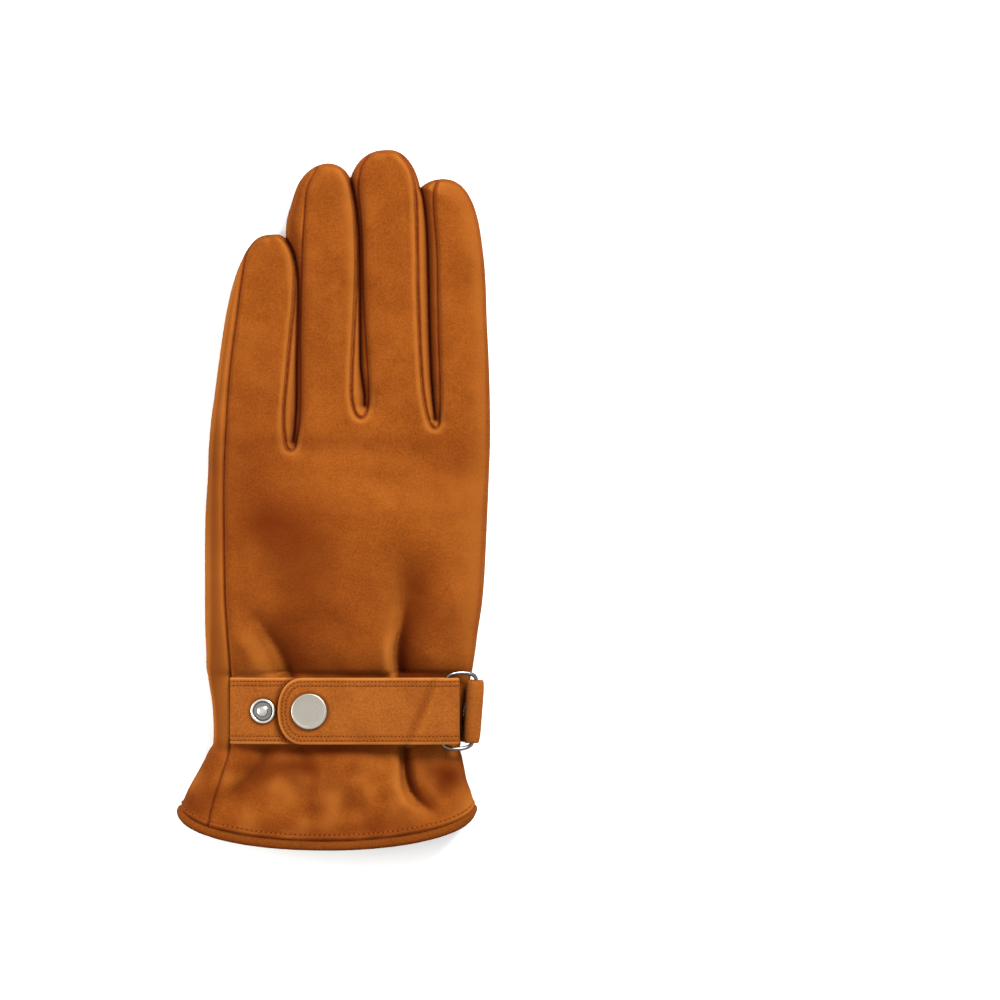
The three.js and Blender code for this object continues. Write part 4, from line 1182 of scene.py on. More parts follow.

# %% Lines of painted highlight and painted shade
# lines of painted highlight and lines of painted shade: softness, then x, y, width on the
# left, width on the right and strength
HIGHLIGHT_LINES = {
    "lip of the right crease": (1.0, [
        (25.4, -36, 4.0, 0.7, 0.0), (24.2, -43, 4.0, 0.7, 0.5), (22.7, -47.5, 3.8, 0.5, 0.9),
        (21.5, -52, 3.6, 0.5, 1.2), (21.2, -56, 3.4, 0.5, 1.3), (21.8, -61, 3.0, 0.5, 1.3),
        (22.4, -65, 3.0, 0.5, 1.2),
    ]),
    "lip of the cuff crease": (1.0, [
        (23.6, -90, 2.6, 0.6, 0.5), (23.7, -97, 2.8, 0.6, 0.9), (24.2, -103, 3.0, 0.8, 1.1),
        (26.2, -108, 3.0, 1.2, 0.8), (30.5, -112, 4.0, 1.5, 0.2),
    ]),
    "mound at the left": (1.2, [
        (-31.5, -43, 6, 3, 0.0), (-28.5, -49.6, 6, 3, 0.5), (-25.0, -55, 7, 2.8, 0.62),
        (-23.0, -60, 14, 2.6, 0.66), (-22.0, -64, 18, 2.4, 0.66),
    ]),
}
SHADED = {
    "right crease": (0.9, [
        (27.2, -34, 0.9, 4.0, 0.0), (26.9, -40, 0.8, 4.5, 0.40), (25.4, -46, 0.6, 5.0, 0.66),
        (23.9, -51, 0.4, 5.2, 0.84), (23.3, -56, 0.4, 5.2, 0.92), (23.8, -61, 0.4, 5.6, 0.96),
        (24.3, -65, 0.4, 5.6, 0.96),
    ]),
    "above the strap": (1.0, [
        (-14.5, -63.0, 2.0, 1.6, 0.2), (-8, -63.0, 2.4, 1.6, 0.4), (17, -63.0, 2.4, 1.6, 0.6),
        (22.5, -63.4, 2.0, 1.0, 0.2), (25, -63.0, 3.4, 1.6, 0.8), (44, -63.0, 2.4, 1.6, 0.7),
    ]),
    "left crease": (0.9, [
        (-22.6, -46, 0.9, 2.4, 0.0), (-20.2, -49.6, 0.9, 2.6, 0.4), (-17.4, -53.4, 0.9, 2.8, 0.6),
        (-15.4, -57.6, 0.9, 3.0, 0.75), (-14.6, -63, 0.9, 3.2, 0.85),
    ]),
    "first slant": (0.9, [
        (-21.8, -88, 1.5, 2.6, 0.3), (-25.6, -94, 1.5, 2.6, 0.5), (-30.4, -100.8, 1.6, 2.8, 0.42),
        (-36, -107, 2, 3, 0.0),
    ]),
    "cuff crease": (0.9, [
        (25.6, -88, 0.5, 2.6, 0.6), (26.0, -95, 0.5, 2.6, 0.85), (27.2, -101, 0.7, 2.8, 0.90),
        (29.8, -105, 1.2, 3.2, 0.85), (33.2, -108.3, 1.6, 3.2, 0.6), (38, -111, 2, 3, 0.0),
    ]),
}
print("lines that are rubbed and shaded:", len(HIGHLIGHT_LINES), len(SHADED))

# %% [markdown]
# Painted shade and highlight also follow the leather's own shape. A gentle slope that faces
# away from the light gets painted shade, and one that faces it painted highlight. The ridges
# beside a seam get painted highlight, and the wall at the right of each slit painted shade.
# Each point gets one dark and one pale mark.

# %% The marks at each point of the leather
SLIT_SHADE, SLIT_SHADE_REACH = 0.42, 3.6
SEAM_NEAR, RIDGE_AWAY, RIDGE_WIDTH, SLIT_NEAR = 3.0, 1.6, 0.8, 8
# how much painted shade a slope facing away from the light gets, away from a seam and at one
SLOPE_SHADE, SEAM_SLOPE_SHADE = 0.6, 0.2
MOTTLE_SIZE, MOTTLE, CUFF_MOTTLE, MOTTLE_RUB = 4.6, 0.10, 0.34, 1.6
SLOPE_HIGHLIGHT, RIDGE_HIGHLIGHT, STRIP_PAINTED_LIGHT = 0.5, 0.8, 0.8
mottling = soft_noise(MOTTLE_SIZE, 21)
rubbed_here = np.clip(along_lines(PLAN_X, PLAN_Y, HIGHLIGHT_LINES), 0, 1)
shaded_here = np.clip(along_lines(PLAN_X, PLAN_Y, SHADED), 0, 1)
slit_shade = SLIT_SHADE * at_right_of_slit * ridge(to_slit, SLIT_SHADE_REACH)
shaded_here = np.maximum(shaded_here, slit_shade)


def nap_marks(points):
    """How much painted shade and painted highlight each point gets, with random mottling, 0 to 1.
    """
    x, y, z = points[:, :3].T
    directions = unit(points[:, 3:6])
    # how far a gentle slope faces the light
    facing = directions[:, :2] @ LIGHT_FROM * smoothstep(0.45, 0.8, directions[:, 2])
    away = look_up(seam_away, x, y)
    near_seam = ridge(away, SEAM_NEAR)
    slope_shade = SLOPE_SHADE + (SEAM_SLOPE_SHADE - SLOPE_SHADE) * near_seam
    light = 1 - slope_shade * smoothstep(0.02, 0.5, -facing)
    pale = np.zeros(len(points))
    for place_x, place_y, across, along, strength in SHADE_AND_LIGHT_PATCHES:
        here = ridge(x - place_x, across) * ridge(y - place_y, along)
        light = light * (1 - max(strength, 0) * here)
        pale = pale + max(-strength, 0) * here
    # the cuff is more mottled than the hand
    mottled = look_up(mottling, x, y) * (MOTTLE + CUFF_MOTTLE * smoothstep(-84, -92, y))
    light = light * (1 - np.maximum(mottled, 0))
    rubbed = look_up(rubbed_here, x, y)
    light = light + (1 - light) * rubbed
    light = light * (1 - look_up(shaded_here, x, y))
    light = np.where(z > look_up(widest, x, y), light, 1.0)
    # painted highlight on slopes that face the light, on the ridges beside seams and slit ends, and
    # on the palm's strip at the side
    on_slope = (SLOPE_HIGHLIGHT + (1 - SLOPE_HIGHLIGHT) * near_seam) * smoothstep(0.05, 0.5, facing)
    on_ridge = ridge(away - RIDGE_AWAY, RIDGE_WIDTH) * (look_up(to_slit, x, y) < SLIT_NEAR)
    on_ridge = on_ridge * np.maximum(smoothstep(-0.05, 0.2, facing), look_up(at_slit_end, x, y))
    on_strip = smoothstep(0.5, -1.5, look_up(side_signed, x, y)) * (z > 2)
    on_strip = on_strip * smoothstep(-92, -84, y)
    pale = pale + MOTTLE_RUB * np.maximum(-mottled, 0)
    rub = np.max([on_slope, RIDGE_HIGHLIGHT * on_ridge, rubbed, pale, STRIP_PAINTED_LIGHT * on_strip], axis=0)
    return 1 - light, np.clip(rub, 0, 1)


print("share of the plan that the lines shade:", round(float((shaded_here > 0.5).mean()), 4))

# %% [markdown]
# ## Turning points into pieces
# Every piece is made the same way. Its points go from millimetres to metres, its faces are
# smooth, and its outward directions are kept where two pieces were cut from one skin, so that
# no line shows at the index finger's edge where the real leather only folds.


# %% Make a piece
def in_scene(name, data):
    """A new object in the scene that holds a mesh, a lamp or a camera."""
    thing = bpy.data.objects.new(name, data)
    bpy.context.scene.collection.objects.link(thing)
    return thing


def make_piece(name, points, faces, material, slot, directions=None, **marks):
    """A named piece on the glove's body, with its material and marks on its points. Slot is not
    used.
    """
    mesh = bpy.data.meshes.new(name)
    mesh.from_pydata((np.asarray(points) * METRES).tolist(), [], [list(map(int, f)) for f in faces])
    mesh.polygons.foreach_set("use_smooth", [True] * len(mesh.polygons))
    for label, values in marks.items():
        attribute = mesh.attributes.new(label, "FLOAT", "POINT")
        attribute.data.foreach_set("value", np.asarray(values, np.float32))
    mesh.update()
    if directions is not None:
        mesh.normals_split_custom_set_from_vertices(unit(directions).tolist())
    mesh.materials.append(material)
    piece = in_scene(name, mesh)
    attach(piece, "root")
    return piece


# %% [markdown]
# ## The leather
# The back, the palm, the thumb and the three strips now get their suede. A thin dark line in
# each valley stands for the sunk thread of the seams, whose stitches are too small to see. A
# dark line down each slit between the fingers is painted shade.

# %% Dress the leather
LEATHER_LOOKS = {name: (STRIP_SUEDE, "suede_strip") for name in FINGER_SEAMS}
THREAD_WIDTH, SLIT_SHADE_WIDTH, HEM_SEAM_WIDTH, HEM_STITCH_WIDTH = 0.42, 0.7, 0.35, 0.3
SEAM_SHADE, HEM_SEAM_SHADE, HEM_STITCH_SHADE = 0.75, 0.5, 0.46
for name, (points, triangles) in pieces.items():
    x, y, z = points[:, :3].T
    from_hem = above_hem(x, y, z)
    on_seam = SEAM_SHADE * ridge(look_up(seam_away, x, y), THREAD_WIDTH)
    # thread lines of the seams and the hem, and painted shade down each slit
    thread = np.max([
        on_seam * smoothstep(-2.0, 0.0, z - look_up(widest, x, y)),
        ridge(look_up(to_slit, x, y), SLIT_SHADE_WIDTH),
        HEM_SEAM_SHADE * ridge(from_hem - HEM_SEAM_UP, HEM_SEAM_WIDTH),
        HEM_STITCH_SHADE * ridge(from_hem - HEM_STITCH_UP, HEM_STITCH_WIDTH),
    ], axis=0)
    material, slot = LEATHER_LOOKS.get(name, (SUEDE, "suede"))
    label = name + "_leather"
    nap, rub = nap_marks(points)
    leather_piece = make_piece(
        label, points[:, :3], triangles, material, slot, points[:, 3:6],
        seam=thread, nap=nap, rub=rub,
    )
    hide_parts(name)
    print(label, len(triangles))

# %% [markdown]
# ## The binding round the hem
# The raw edge of the cuff is wrapped in a strip of the same suede. It makes a soft roll along
# the whole hem. The cut edge of the skin gives the line that the roll follows, so the two always
# agree. A section with rounded corners is then swept along that line. The roll is drawn in a
# darker copy of the suede, and the side that faces away from the hand darker still: both are
# painted shade.


# %% Walk along a line
def length_along(line):
    """How far each place of a line is from its start."""
    steps = np.linalg.norm(np.diff(line[:, :3], axis=0), axis=1)
    return np.append(0, np.cumsum(steps))


def places_on(line, stations):
    """The line's columns at the given lengths from its start."""
    reach = length_along(line)
    return np.stack([np.interp(stations, reach, values) for values in line.T], axis=1)


def even_loop(line, pitch):
    """The same closed line with even steps of about the given length."""
    closed = np.vstack([line, line[:1]])
    whole = length_along(closed)[-1]
    return places_on(closed, np.linspace(0, whole, int(round(whole / pitch)), endpoint=False))


def smoothed(loop, rounds):
    """A closed line with its small corners evened out."""
    for _ in range(rounds):
        loop = 0.5 * loop + 0.25 * (np.roll(loop, 1, axis=0) + np.roll(loop, -1, axis=0))
    return loop


def ways_round(loop):
    """The direction of a closed line at each of its places."""
    return unit(np.roll(loop, -1, axis=0) - np.roll(loop, 1, axis=0))


def ring_faces(rings, sides, closed_path=True):
    """Quads between neighbouring rings of points. A closed path joins the last to the first."""
    faces = []
    for ring in range(rings if closed_path else rings - 1):
        following = (ring + 1) % rings
        for side in range(sides):
            beside = (side + 1) % sides
            here, there = ring * sides, following * sides
            faces.append((here + side, here + beside, there + beside, there + side))
    return faces


print("length of the outline:", round(float(length_along(outline)[-1])))


# %% Follow the hem
def open_edge_loops(triangles):
    """The loops of edges that belong to one triangle only, as lists of point numbers."""
    edges = np.vstack([triangles[:, [0, 1]], triangles[:, [1, 2]], triangles[:, [2, 0]]])
    known = set(map(tuple, edges.tolist()))
    following = {b: a for a, b in known if (b, a) not in known}
    loops = []
    while following:
        start, step = following.popitem()
        loop = [start]
        while step != start:
            loop.append(step)
            step = following.pop(step)
        loops.append(loop)
    return sorted(loops, key=len, reverse=True)


hem_points, hem_triangles = hem_skin
hem_loop = hem_points[open_edge_loops(hem_triangles)[0]]
HEM_STEP, HEM_SMOOTHING = 1.0, 4
hem_loop = smoothed(even_loop(hem_loop, HEM_STEP), HEM_SMOOTHING)
print("length of the hem, in millimetres:", round(float(length_along(hem_loop)[-1])))

# %% Sweep the roll
ROLL_HALF_HEIGHT, ROLL_HALF_WALL, ROLL_UP, ROLL_IN = 1.6, 1.45, 0.76, 0.62
ROLL_SIDES, ROLL_SQUARENESS, ROLL_SHADE = 18, 0.8, 0.7
places, outward = hem_loop[:, :3], hem_loop[:, 3:6]
tangent = ways_round(places)
outward = unit(outward - tangent * (outward * tangent).sum(axis=1, keepdims=True))
down = np.cross(tangent, outward)
down *= -np.sign(down[:, 1:2].mean())
middle = places - down * ROLL_UP - outward * ROLL_IN
turn = around(ROLL_SIDES)
squared = np.stack([np.cos(turn), np.sin(turn)], axis=1)
squared = np.sign(squared) * np.abs(squared) ** ROLL_SQUARENESS
roll_points = (
    middle[:, None]
    + down[:, None] * (ROLL_HALF_HEIGHT * squared[None, :, :1])
    + outward[:, None] * (ROLL_HALF_WALL * squared[None, :, 1:])
)
roll_faces = ring_faces(len(hem_loop), ROLL_SIDES)
# painted shade on the side of the roll that faces away from the hand
roll_shade = ROLL_SHADE * smoothstep(0.1, 0.9, squared[:, 0])
binding = make_piece(
    "cuff_binding_roll", roll_points.reshape(-1, 3), roll_faces, SHADED_BINDING_SUEDE, "suede_binding",
    nap=np.tile(roll_shade, len(hem_loop)),
)
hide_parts("cuff_binding")
print("faces of the roll:", len(roll_faces))

# %% [markdown]
# ## The strap
# One long tab of leather starts in the side seam, goes over the wrist, passes round the ring
# and comes back over itself to a rounded end. Two rows of stitching run along its edges. Its
# path is a list of places along the wrist, with half its width at each.

# %% The strap's path
HALF_STRAP = STRAP_WIDTH / 2
STRAP_START, STRAP_END, STRAP_ROUNDING = -36.4, -19.3, 8.6
STRAP_THICK, LAYER_GAP, BED_GAP = 1.6, 0.55, 0.2
# the ring's middle and size, and where the strap turns round its nearer bar
RING_X, RING_WIDTH, RING_LENGTH, RING_WIRE = 45.6, 12.2, 28.8, 1.45
BAR_X = RING_X - RING_WIDTH / 2 + RING_WIRE / 2
FOLD_RADIUS = 1.9
FOLD_X = strap_high[0] - STRAP_THICK / 2 - FOLD_RADIUS
CAP_X, STUD_X = -8.0, -24.7
CAP_R, STUD_R = 6.45, 4.5


def strap_bed(x):
    """The highest leather across the strap's width, which is what the strap lies on."""
    steps = (-HALF_STRAP, -6.0, 0.0, 6.0, HALF_STRAP)
    return np.max([top_height(x, STRAP_Y + step) for step in steps], axis=0) + BED_GAP


bed_places = np.linspace(-40, 60, 101)
bed_heights = strap_bed(np.minimum(bed_places, BAR_X - 2.5))
# the mean of each nine neighbours, since a strap doesn't follow small folds
BED_MEAN = 9
bed_heights = np.pad(bed_heights, BED_MEAN // 2, mode="edge")
bed_heights = np.convolve(bed_heights, np.full(BED_MEAN, 1 / BED_MEAN), mode="valid")


def strap_middle(x):
    """Height of the middle of the strap's lower layer."""
    return np.interp(x, bed_places, bed_heights) + STRAP_THICK / 2


def upper_middle(x):
    """Height of the middle of the upper layer, which rises towards the ring."""
    snug = STRAP_THICK + LAYER_GAP
    return strap_middle(x) + snug + (2 * FOLD_RADIUS - snug) * smoothstep(CAP_X + 14, BAR_X - 3, x)


print("height of the strap at its start:", round(float(strap_middle(STRAP_START)), 1))

# %% Follow the path
PATH_STEP = 0.6
lower_x = np.arange(STRAP_START, FOLD_X, PATH_STEP)
fold_turn = np.linspace(-math.pi / 2, math.pi / 2, 12)[1:-1]
fold_z = float(strap_middle(FOLD_X)) + FOLD_RADIUS
upper_x = np.arange(FOLD_X, STRAP_END + STRAP_ROUNDING, -PATH_STEP)
end_turn = np.linspace(0, math.pi / 2, 26)[1:]
end_x = STRAP_END + STRAP_ROUNDING * (1 - np.sin(end_turn))
strap_x = np.concatenate([lower_x, FOLD_X + FOLD_RADIUS * np.cos(fold_turn), upper_x, end_x])
strap_z = np.concatenate([
    strap_middle(lower_x),
    fold_z + FOLD_RADIUS * np.sin(fold_turn),
    upper_middle(upper_x),
    upper_middle(end_x),
])
strap_half = np.full(len(strap_x), HALF_STRAP)
# a power below 1 makes the end blunter than half an ellipse
END_POWER, END_LEAST = 0.85, 0.9
strap_half[-len(end_x) :] = np.maximum(HALF_STRAP * np.cos(end_turn) ** END_POWER, END_LEAST)
strap_run = np.append(0, np.cumsum(np.hypot(np.diff(strap_x), np.diff(strap_z))))
turn_run = strap_run[len(lower_x) + len(fold_turn) // 2]
print("length of the strap, in millimetres:", round(float(strap_run[-1]), 1))

# %% [markdown]
# The strap's section is a flat band with round edges. It could be bent from a flat mesh, but it
# is simpler to work out each place from how far along and across the flat strap it is. The
# stitches sit in two shallow lines that they have pulled into the leather, and a soft crease
# crosses the upper layer near the ring.

# %% The strap's section and outline
EDGE_STEPS, FLAT_STEPS = 7, 44


def band_section(half, thick):
    """Points round a band's section: how far across and how far up, from the far edge on."""
    radius = thick / 2
    flat = max(half - radius, 0.05)
    turn = np.linspace(-math.pi / 2, math.pi / 2, EDGE_STEPS)
    along = np.linspace(-1, 1, FLAT_STEPS)[1:-1] * flat
    far = np.stack([flat + radius * np.cos(turn), radius * np.sin(turn)], axis=1)
    top = np.stack([along[::-1], np.full(len(along), radius)], axis=1)
    near = np.stack([-flat - radius * np.cos(turn), -radius * np.sin(turn)], axis=1)
    low = np.stack([along, np.full(len(along), -radius)], axis=1)
    return np.vstack([far, top, near, low])


def edge_line(inset):
    """The strap's outline laid flat, drawn in by a distance: run and across."""
    half = HALF_STRAP - inset
    straight = strap_run[-1] - STRAP_ROUNDING
    turn = np.linspace(0, math.pi, 61)
    reach = STRAP_ROUNDING - inset
    across = half * np.sign(np.cos(turn)) * np.abs(np.cos(turn)) ** END_POWER
    end = np.stack([straight + reach * np.sin(turn), across], axis=1)
    start = np.arange(0, straight, 0.5)
    first = np.stack([start, np.full(len(start), half)], axis=1)
    return np.vstack([first, end, first[::-1] * (1, -1)])


print("places on the strap's outline:", len(edge_line(0.0)))

# %% From the flat strap to the folded one
CREASE_FROM, CREASE_TO = (28.7, -83.5), (35.6, -67.7)
CREASE_DEPTH, SWELLING, WAVE_DEPTH = 0.42, 0.25, 0.14
PATH_PROBE = 0.3


def path_at(run):
    """x and z of the strap's middle at a length from its start."""
    return np.interp(run, strap_run, strap_x), np.interp(run, strap_run, strap_z)


def on_strap(run, across, lift):
    """A place on the strap, from its place when laid flat and its height over the middle."""
    x, z = path_at(run)
    after, before = path_at(run + PATH_PROBE), path_at(run - PATH_PROBE)
    way_x, way_z = after[0] - before[0], after[1] - before[1]
    length = np.hypot(way_x, way_z)
    x = x - lift * way_z / length
    z = z + lift * way_x / length
    return np.stack([x, STRAP_Y + across, z], axis=-1)


def nearest_of(places, x, y):
    """Distance from each x and y to the nearest of a few places."""
    return np.min([np.hypot(x - place_x, y - place_y) for place_x, place_y in places], axis=0)


def open_tube(rings, sides):
    """Quads between open rings of points, and the point numbers of the first and last ring."""
    first, last = tuple(range(sides)), tuple(range((rings - 1) * sides, rings * sides))
    return ring_faces(rings, sides, closed_path=False), first, last


def crease_depth(x, across):
    """A soft slanting crease near the ring with a swelling beside it, and slight waves."""
    (from_x, from_y), (to_x, to_y) = CREASE_FROM, CREASE_TO
    run_x, run_y = to_x - from_x, to_y - from_y
    away = ((x - from_x) * run_y - (STRAP_Y + across - from_y) * run_x) / math.hypot(run_x, run_y)
    crease = CREASE_DEPTH * ridge(away, 1.9) - SWELLING * ridge(away - 3.4, 2.4)
    return crease + WAVE_DEPTH * np.sin(x / 4.1 + across / 7.0)


print("the strap's crease is at most", CREASE_DEPTH + WAVE_DEPTH, "mm deep")

# %% The strap's surface
# how far the two rows of stitches are from the strap's edge
STITCH_ROWS = (1.35, 2.85)
STITCH_DEPTH, STITCH_WIDTH = 0.22, 0.32
# the leather is puffed up between the rows
PUFF_HEIGHT, PUFF_AT, PUFF_WIDTH = 0.10, sum(STITCH_ROWS) / 2, 0.5
section_rows = []
for run_here, half in zip(strap_run, strap_half):
    section = band_section(half, STRAP_THICK)
    section_rows.append(np.hstack([np.full((len(section), 1), run_here), section]))
run, across, high = np.vstack(section_rows).T
is_upper = run > turn_run
# the outer face is above the middle on the lower layer and below it on the turned one
face = np.where(is_upper, -1.0, 1.0)
faces_out = high * face > 0.3
from_edge = nearest_of(edge_line(0.0), run, across)
pressed = sum(STITCH_DEPTH * ridge(from_edge - row, STITCH_WIDTH) for row in STITCH_ROWS)
pressed = pressed - PUFF_HEIGHT * ridge(from_edge - PUFF_AT, PUFF_WIDTH)
creased = np.where(is_upper, crease_depth(path_at(run)[0], across), 0.0)
strap_points = on_strap(run, across, high - face * (np.where(faces_out, pressed, 0) + creased))
strap_faces, first, last = open_tube(len(strap_run), len(band_section(HALF_STRAP, STRAP_THICK)))
strap_faces += [first, last[::-1]]
print("faces of the strap:", len(strap_faces))

# %% The strap's shades
END_SHADE, END_SHADE_WIDTH, SNAP_SHADE, SNAP_SHADE_WIDTH = 0.85, 1.2, 0.62, 0.75
CUT_EDGE_WIDTH, SHADE_SHIFT = 0.75, (0.5, 0.3)
# painted shade in the grooves that the stitch rows press in
stitch_groove_shade = sum(ridge(from_edge - row, 0.3) for row in STITCH_ROWS)
# painted shadow on the lower layer just beyond the rounded end, and painted shade round each snap
end_lines = np.stack([end_x, strap_half[-len(end_x) :]], axis=1)
end_lines = np.vstack([end_lines, end_lines * (1, -1)]) - SHADE_SHIFT
x = strap_points[:, 0]
beside_end = END_SHADE * ridge(nearest_of(end_lines, x, across), END_SHADE_WIDTH)
beside_end = np.where(is_upper, 0, beside_end)
from_cap, from_stud = np.hypot(x - CAP_X, across) - CAP_R, np.hypot(x - STUD_X, across) - STUD_R
from_snap = np.maximum(np.where(is_upper, from_cap, from_stud), 0)
round_snap = SNAP_SHADE * ridge(from_snap, SNAP_SHADE_WIDTH)
# the dark mark is painted shade: in the crease, beyond the rounded end and round each snap
strap_piece = make_piece(
    "strap_leather", strap_points, strap_faces, STRAP_SUEDE, "suede_strap",
    seam=0.3 * np.where(faces_out, np.minimum(stitch_groove_shade, 1), 0),
    nap=np.max([np.clip(0.9 * creased, 0, 0.5), beside_end, round_snap], axis=0),
    rub=ridge(from_edge, CUT_EDGE_WIDTH),
)
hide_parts("strap")
print("darkest shade on the strap:", END_SHADE)

# %% [markdown]
# ## The ring
# The ring is a wire of steel bent to a narrow oval with straight bars. It leans a little with
# the pull of the strap. A tube is swept along its line, because a torus has no straight bars.

# %% The ring's line and a tube round it
RING_TILT, RING_LEAN, RING_ARC = 16.0, 0.06, 2.1


def ring_height(x):
    """The ring's plane falls towards the glove's side."""
    start = float(strap_middle(BAR_X)) + FOLD_RADIUS
    return start - (x - BAR_X) * math.tan(math.radians(RING_TILT))


def tube(line, radius, sides=14):
    """A tube round a closed line."""
    tangent = ways_round(line)
    up = unit(np.array([0.0, 0.0, 1.0]) - tangent * tangent[:, 2:3])
    out = np.cross(tangent, up)
    turn = around(sides)
    shell = up[:, None] * np.cos(turn)[None, :, None] + out[:, None] * np.sin(turn)[None, :, None]
    points = line[:, None] + radius * shell
    return points.reshape(-1, 3), [face[::-1] for face in ring_faces(len(line), sides)]


half_x, half_y = (RING_WIDTH - RING_WIRE) / 2, (RING_LENGTH - RING_WIRE) / 2
angle = 2 * np.pi * (np.arange(120) + 0.5) / 120
out = np.sign(np.sin(angle)) * (half_y - RING_ARC) + RING_ARC * np.sin(angle)
ring_x = RING_X + half_x * np.cos(angle)
ring_line = np.stack([ring_x + RING_LEAN * out, STRAP_Y + out, ring_height(ring_x)], axis=1)
RING_STEP, RING_SMOOTHING = 0.5, 6
ring_line = smoothed(even_loop(ring_line, RING_STEP), RING_SMOOTHING)
print("points round the ring:", len(ring_line))

# %% [markdown]
# ## Steel
# A metal's colour is the colour of its reflection. Its roughness varies a little with a fine
# noise, as on a part that is tumbled and plated. The same mark that darkens seams in the suede
# paints shade into the open stud's trough here.


# %% Steel and the ring's wire
HOLLOW_SHADE_SHARE, MARK_SIZE, MARK_ROUGHNESS = 0.06, 1.1, 0.12


def metal_material(name, colour, rough):
    """Steel of a colour and a roughness, with painted shade where its mesh marks a hollow."""
    material = bpy.data.materials.new(name)
    material.use_nodes = True
    links = material.node_tree.links
    shader = material.node_tree.nodes["Principled BSDF"]
    hollow_shade = tuple(HOLLOW_SHADE_SHARE * amount for amount in colour)
    shade = mixed_colour(material, mark_on(material, "seam"), colour, hollow_shade)
    links.new(shade, shader.inputs["Base Color"])
    shader.inputs["Metallic"].default_value = 1.0
    place = add_node(material, "ShaderNodeTexCoord").outputs["Object"]
    marks = noise_at(material, place, MARK_SIZE, 3.0)
    varied = math_node(material, "MULTIPLY", marks, MARK_ROUGHNESS)
    roughness = math_node(material, "ADD", varied, rough)
    links.new(roughness, shader.inputs["Roughness"])
    return material


POLISHED = metal_material("polished steel", (0.36, 0.35, 0.33), 0.25)
DARK_POLISHED = metal_material("dark polished steel", (0.085, 0.08, 0.078), 0.12)
SATIN = metal_material("satin steel", (0.228, 0.212, 0.185), 0.34)
ring_points, ring_quads = tube(ring_line, RING_WIRE / 2)
ring_piece = make_piece("ring_wire", ring_points, ring_quads, DARK_POLISHED, "polished_steel")
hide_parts("strap_ring")
print("faces of the ring:", len(ring_quads))

# %% [markdown]
# ## The tab that holds the ring
# A short band of leather comes out of the glove's side, goes over the ring's outer bar and back
# under it. Its two long edges differ a little, because it leans with the ring. The path is a
# loop drawn in x and z round the bar, and the section is the strap's own band.

# %% The tab
TAB_THICK = 1.3
OUTER_BAR_X = RING_X + RING_WIDTH / 2 - RING_WIRE / 2
BAR_Z = ring_height(OUTER_BAR_X)
TAB_REACH = RING_WIRE / 2 + 0.15 + TAB_THICK / 2
# x and z from the ring's outer bar, and how far the place is drawn in to the glove's side
TAB_PATH = [
    (0.6, 4.4 - BAR_Z, 1.0), (1.4, 8.0 - BAR_Z, 1.0), (1.7, 11.0 - BAR_Z, 0.6),
    (2.5, -2.2, 0.1), (2.3, -0.4, 0.0), (1.6, TAB_REACH - 0.3, 0.0), (0.3, TAB_REACH, 0.0),
    (-1.6, TAB_REACH, 0.0), (-2.9, 0.9, 0.0), (-3.2, -0.2, 0.0), (-2.6, -1.2, 0.0),
    (-1.0, -TAB_REACH - 0.3, 0.0), (0.2, -TAB_REACH - 1.6, 0.2), (0.0, 11.0 - BAR_Z, 0.6),
    (-0.2, 8.4 - BAR_Z, 1.0), (-0.9, 5.4 - BAR_Z, 1.0),
]
# for the upper and the lower long edge: place across, how narrow its loop is, and its seat's depth
TAB_EDGES = [(10.9, 0.95, 1.3), (-11.6, 0.84, 3.55)]
TAB_STITCHES, TAB_STITCH_DEPTH, TAB_BAR_GAP = (0.06, 0.94), 0.16, 0.1


def tab_edge(x, z, seat, out, squeeze, depth):
    """Where the tab's path lies at one of its long edges."""
    edge_x = OUTER_BAR_X + out * RING_LEAN + x * squeeze + TAB_BAR_GAP - seat * depth
    return np.array([edge_x, STRAP_Y + out, BAR_Z + z])


tab_line = rounded_line([row[:2] for row in TAB_PATH], 8)
row_places = np.linspace(0, 1, len(TAB_PATH))
tab_seat = np.interp(np.linspace(0, 1, len(tab_line)), row_places, column(TAB_PATH, 2))
tab_ways = unit(np.diff(tab_line, axis=0, append=2 * tab_line[-1:] - tab_line[-2:-1]))
half_band = 1.0 + TAB_THICK / 2
band_across, band_up = band_section(half_band, TAB_THICK).T
share = np.clip(band_across / half_band, -1, 1) * 0.5 + 0.5
stitched = sum(TAB_STITCH_DEPTH * ridge(share - place, 0.015) for place in TAB_STITCHES)
thick = band_up - np.where(np.abs(band_up) > 0.6, np.sign(band_up) * stitched, 0)
tab_rows = []
for (x, z), seat, (way_x, way_z) in zip(tab_line, tab_seat, tab_ways):
    far, near = [tab_edge(x, z, seat, *edge) for edge in TAB_EDGES]
    middle = near + (far - near) * share[:, None]
    tab_rows.append(middle + thick[:, None] * np.array([-way_z, 0, way_x]))
tab_points = np.vstack(tab_rows)
tab_faces, first, last = open_tube(len(tab_rows), len(share))
tab_faces += [first, last[::-1]]
tab_piece = make_piece("ring_tab_leather", tab_points, tab_faces, STRAP_SUEDE, "suede_strap")
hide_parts("ring_tab")
print("faces of the tab:", len(tab_faces))

# %% [markdown]
# ## The snaps
# The strap closes with a press snap. Its cap sits on one stud, and a second stud stands open
# beside it for another width of wrist. All of them are pressed from thin steel and are round, so
# a profile of radius and height is spun into each. The hidden stud keeps its plain shape.


# %% Spin a profile
SNAP_SIDES, SNAP_SPAN = 72, 6.0


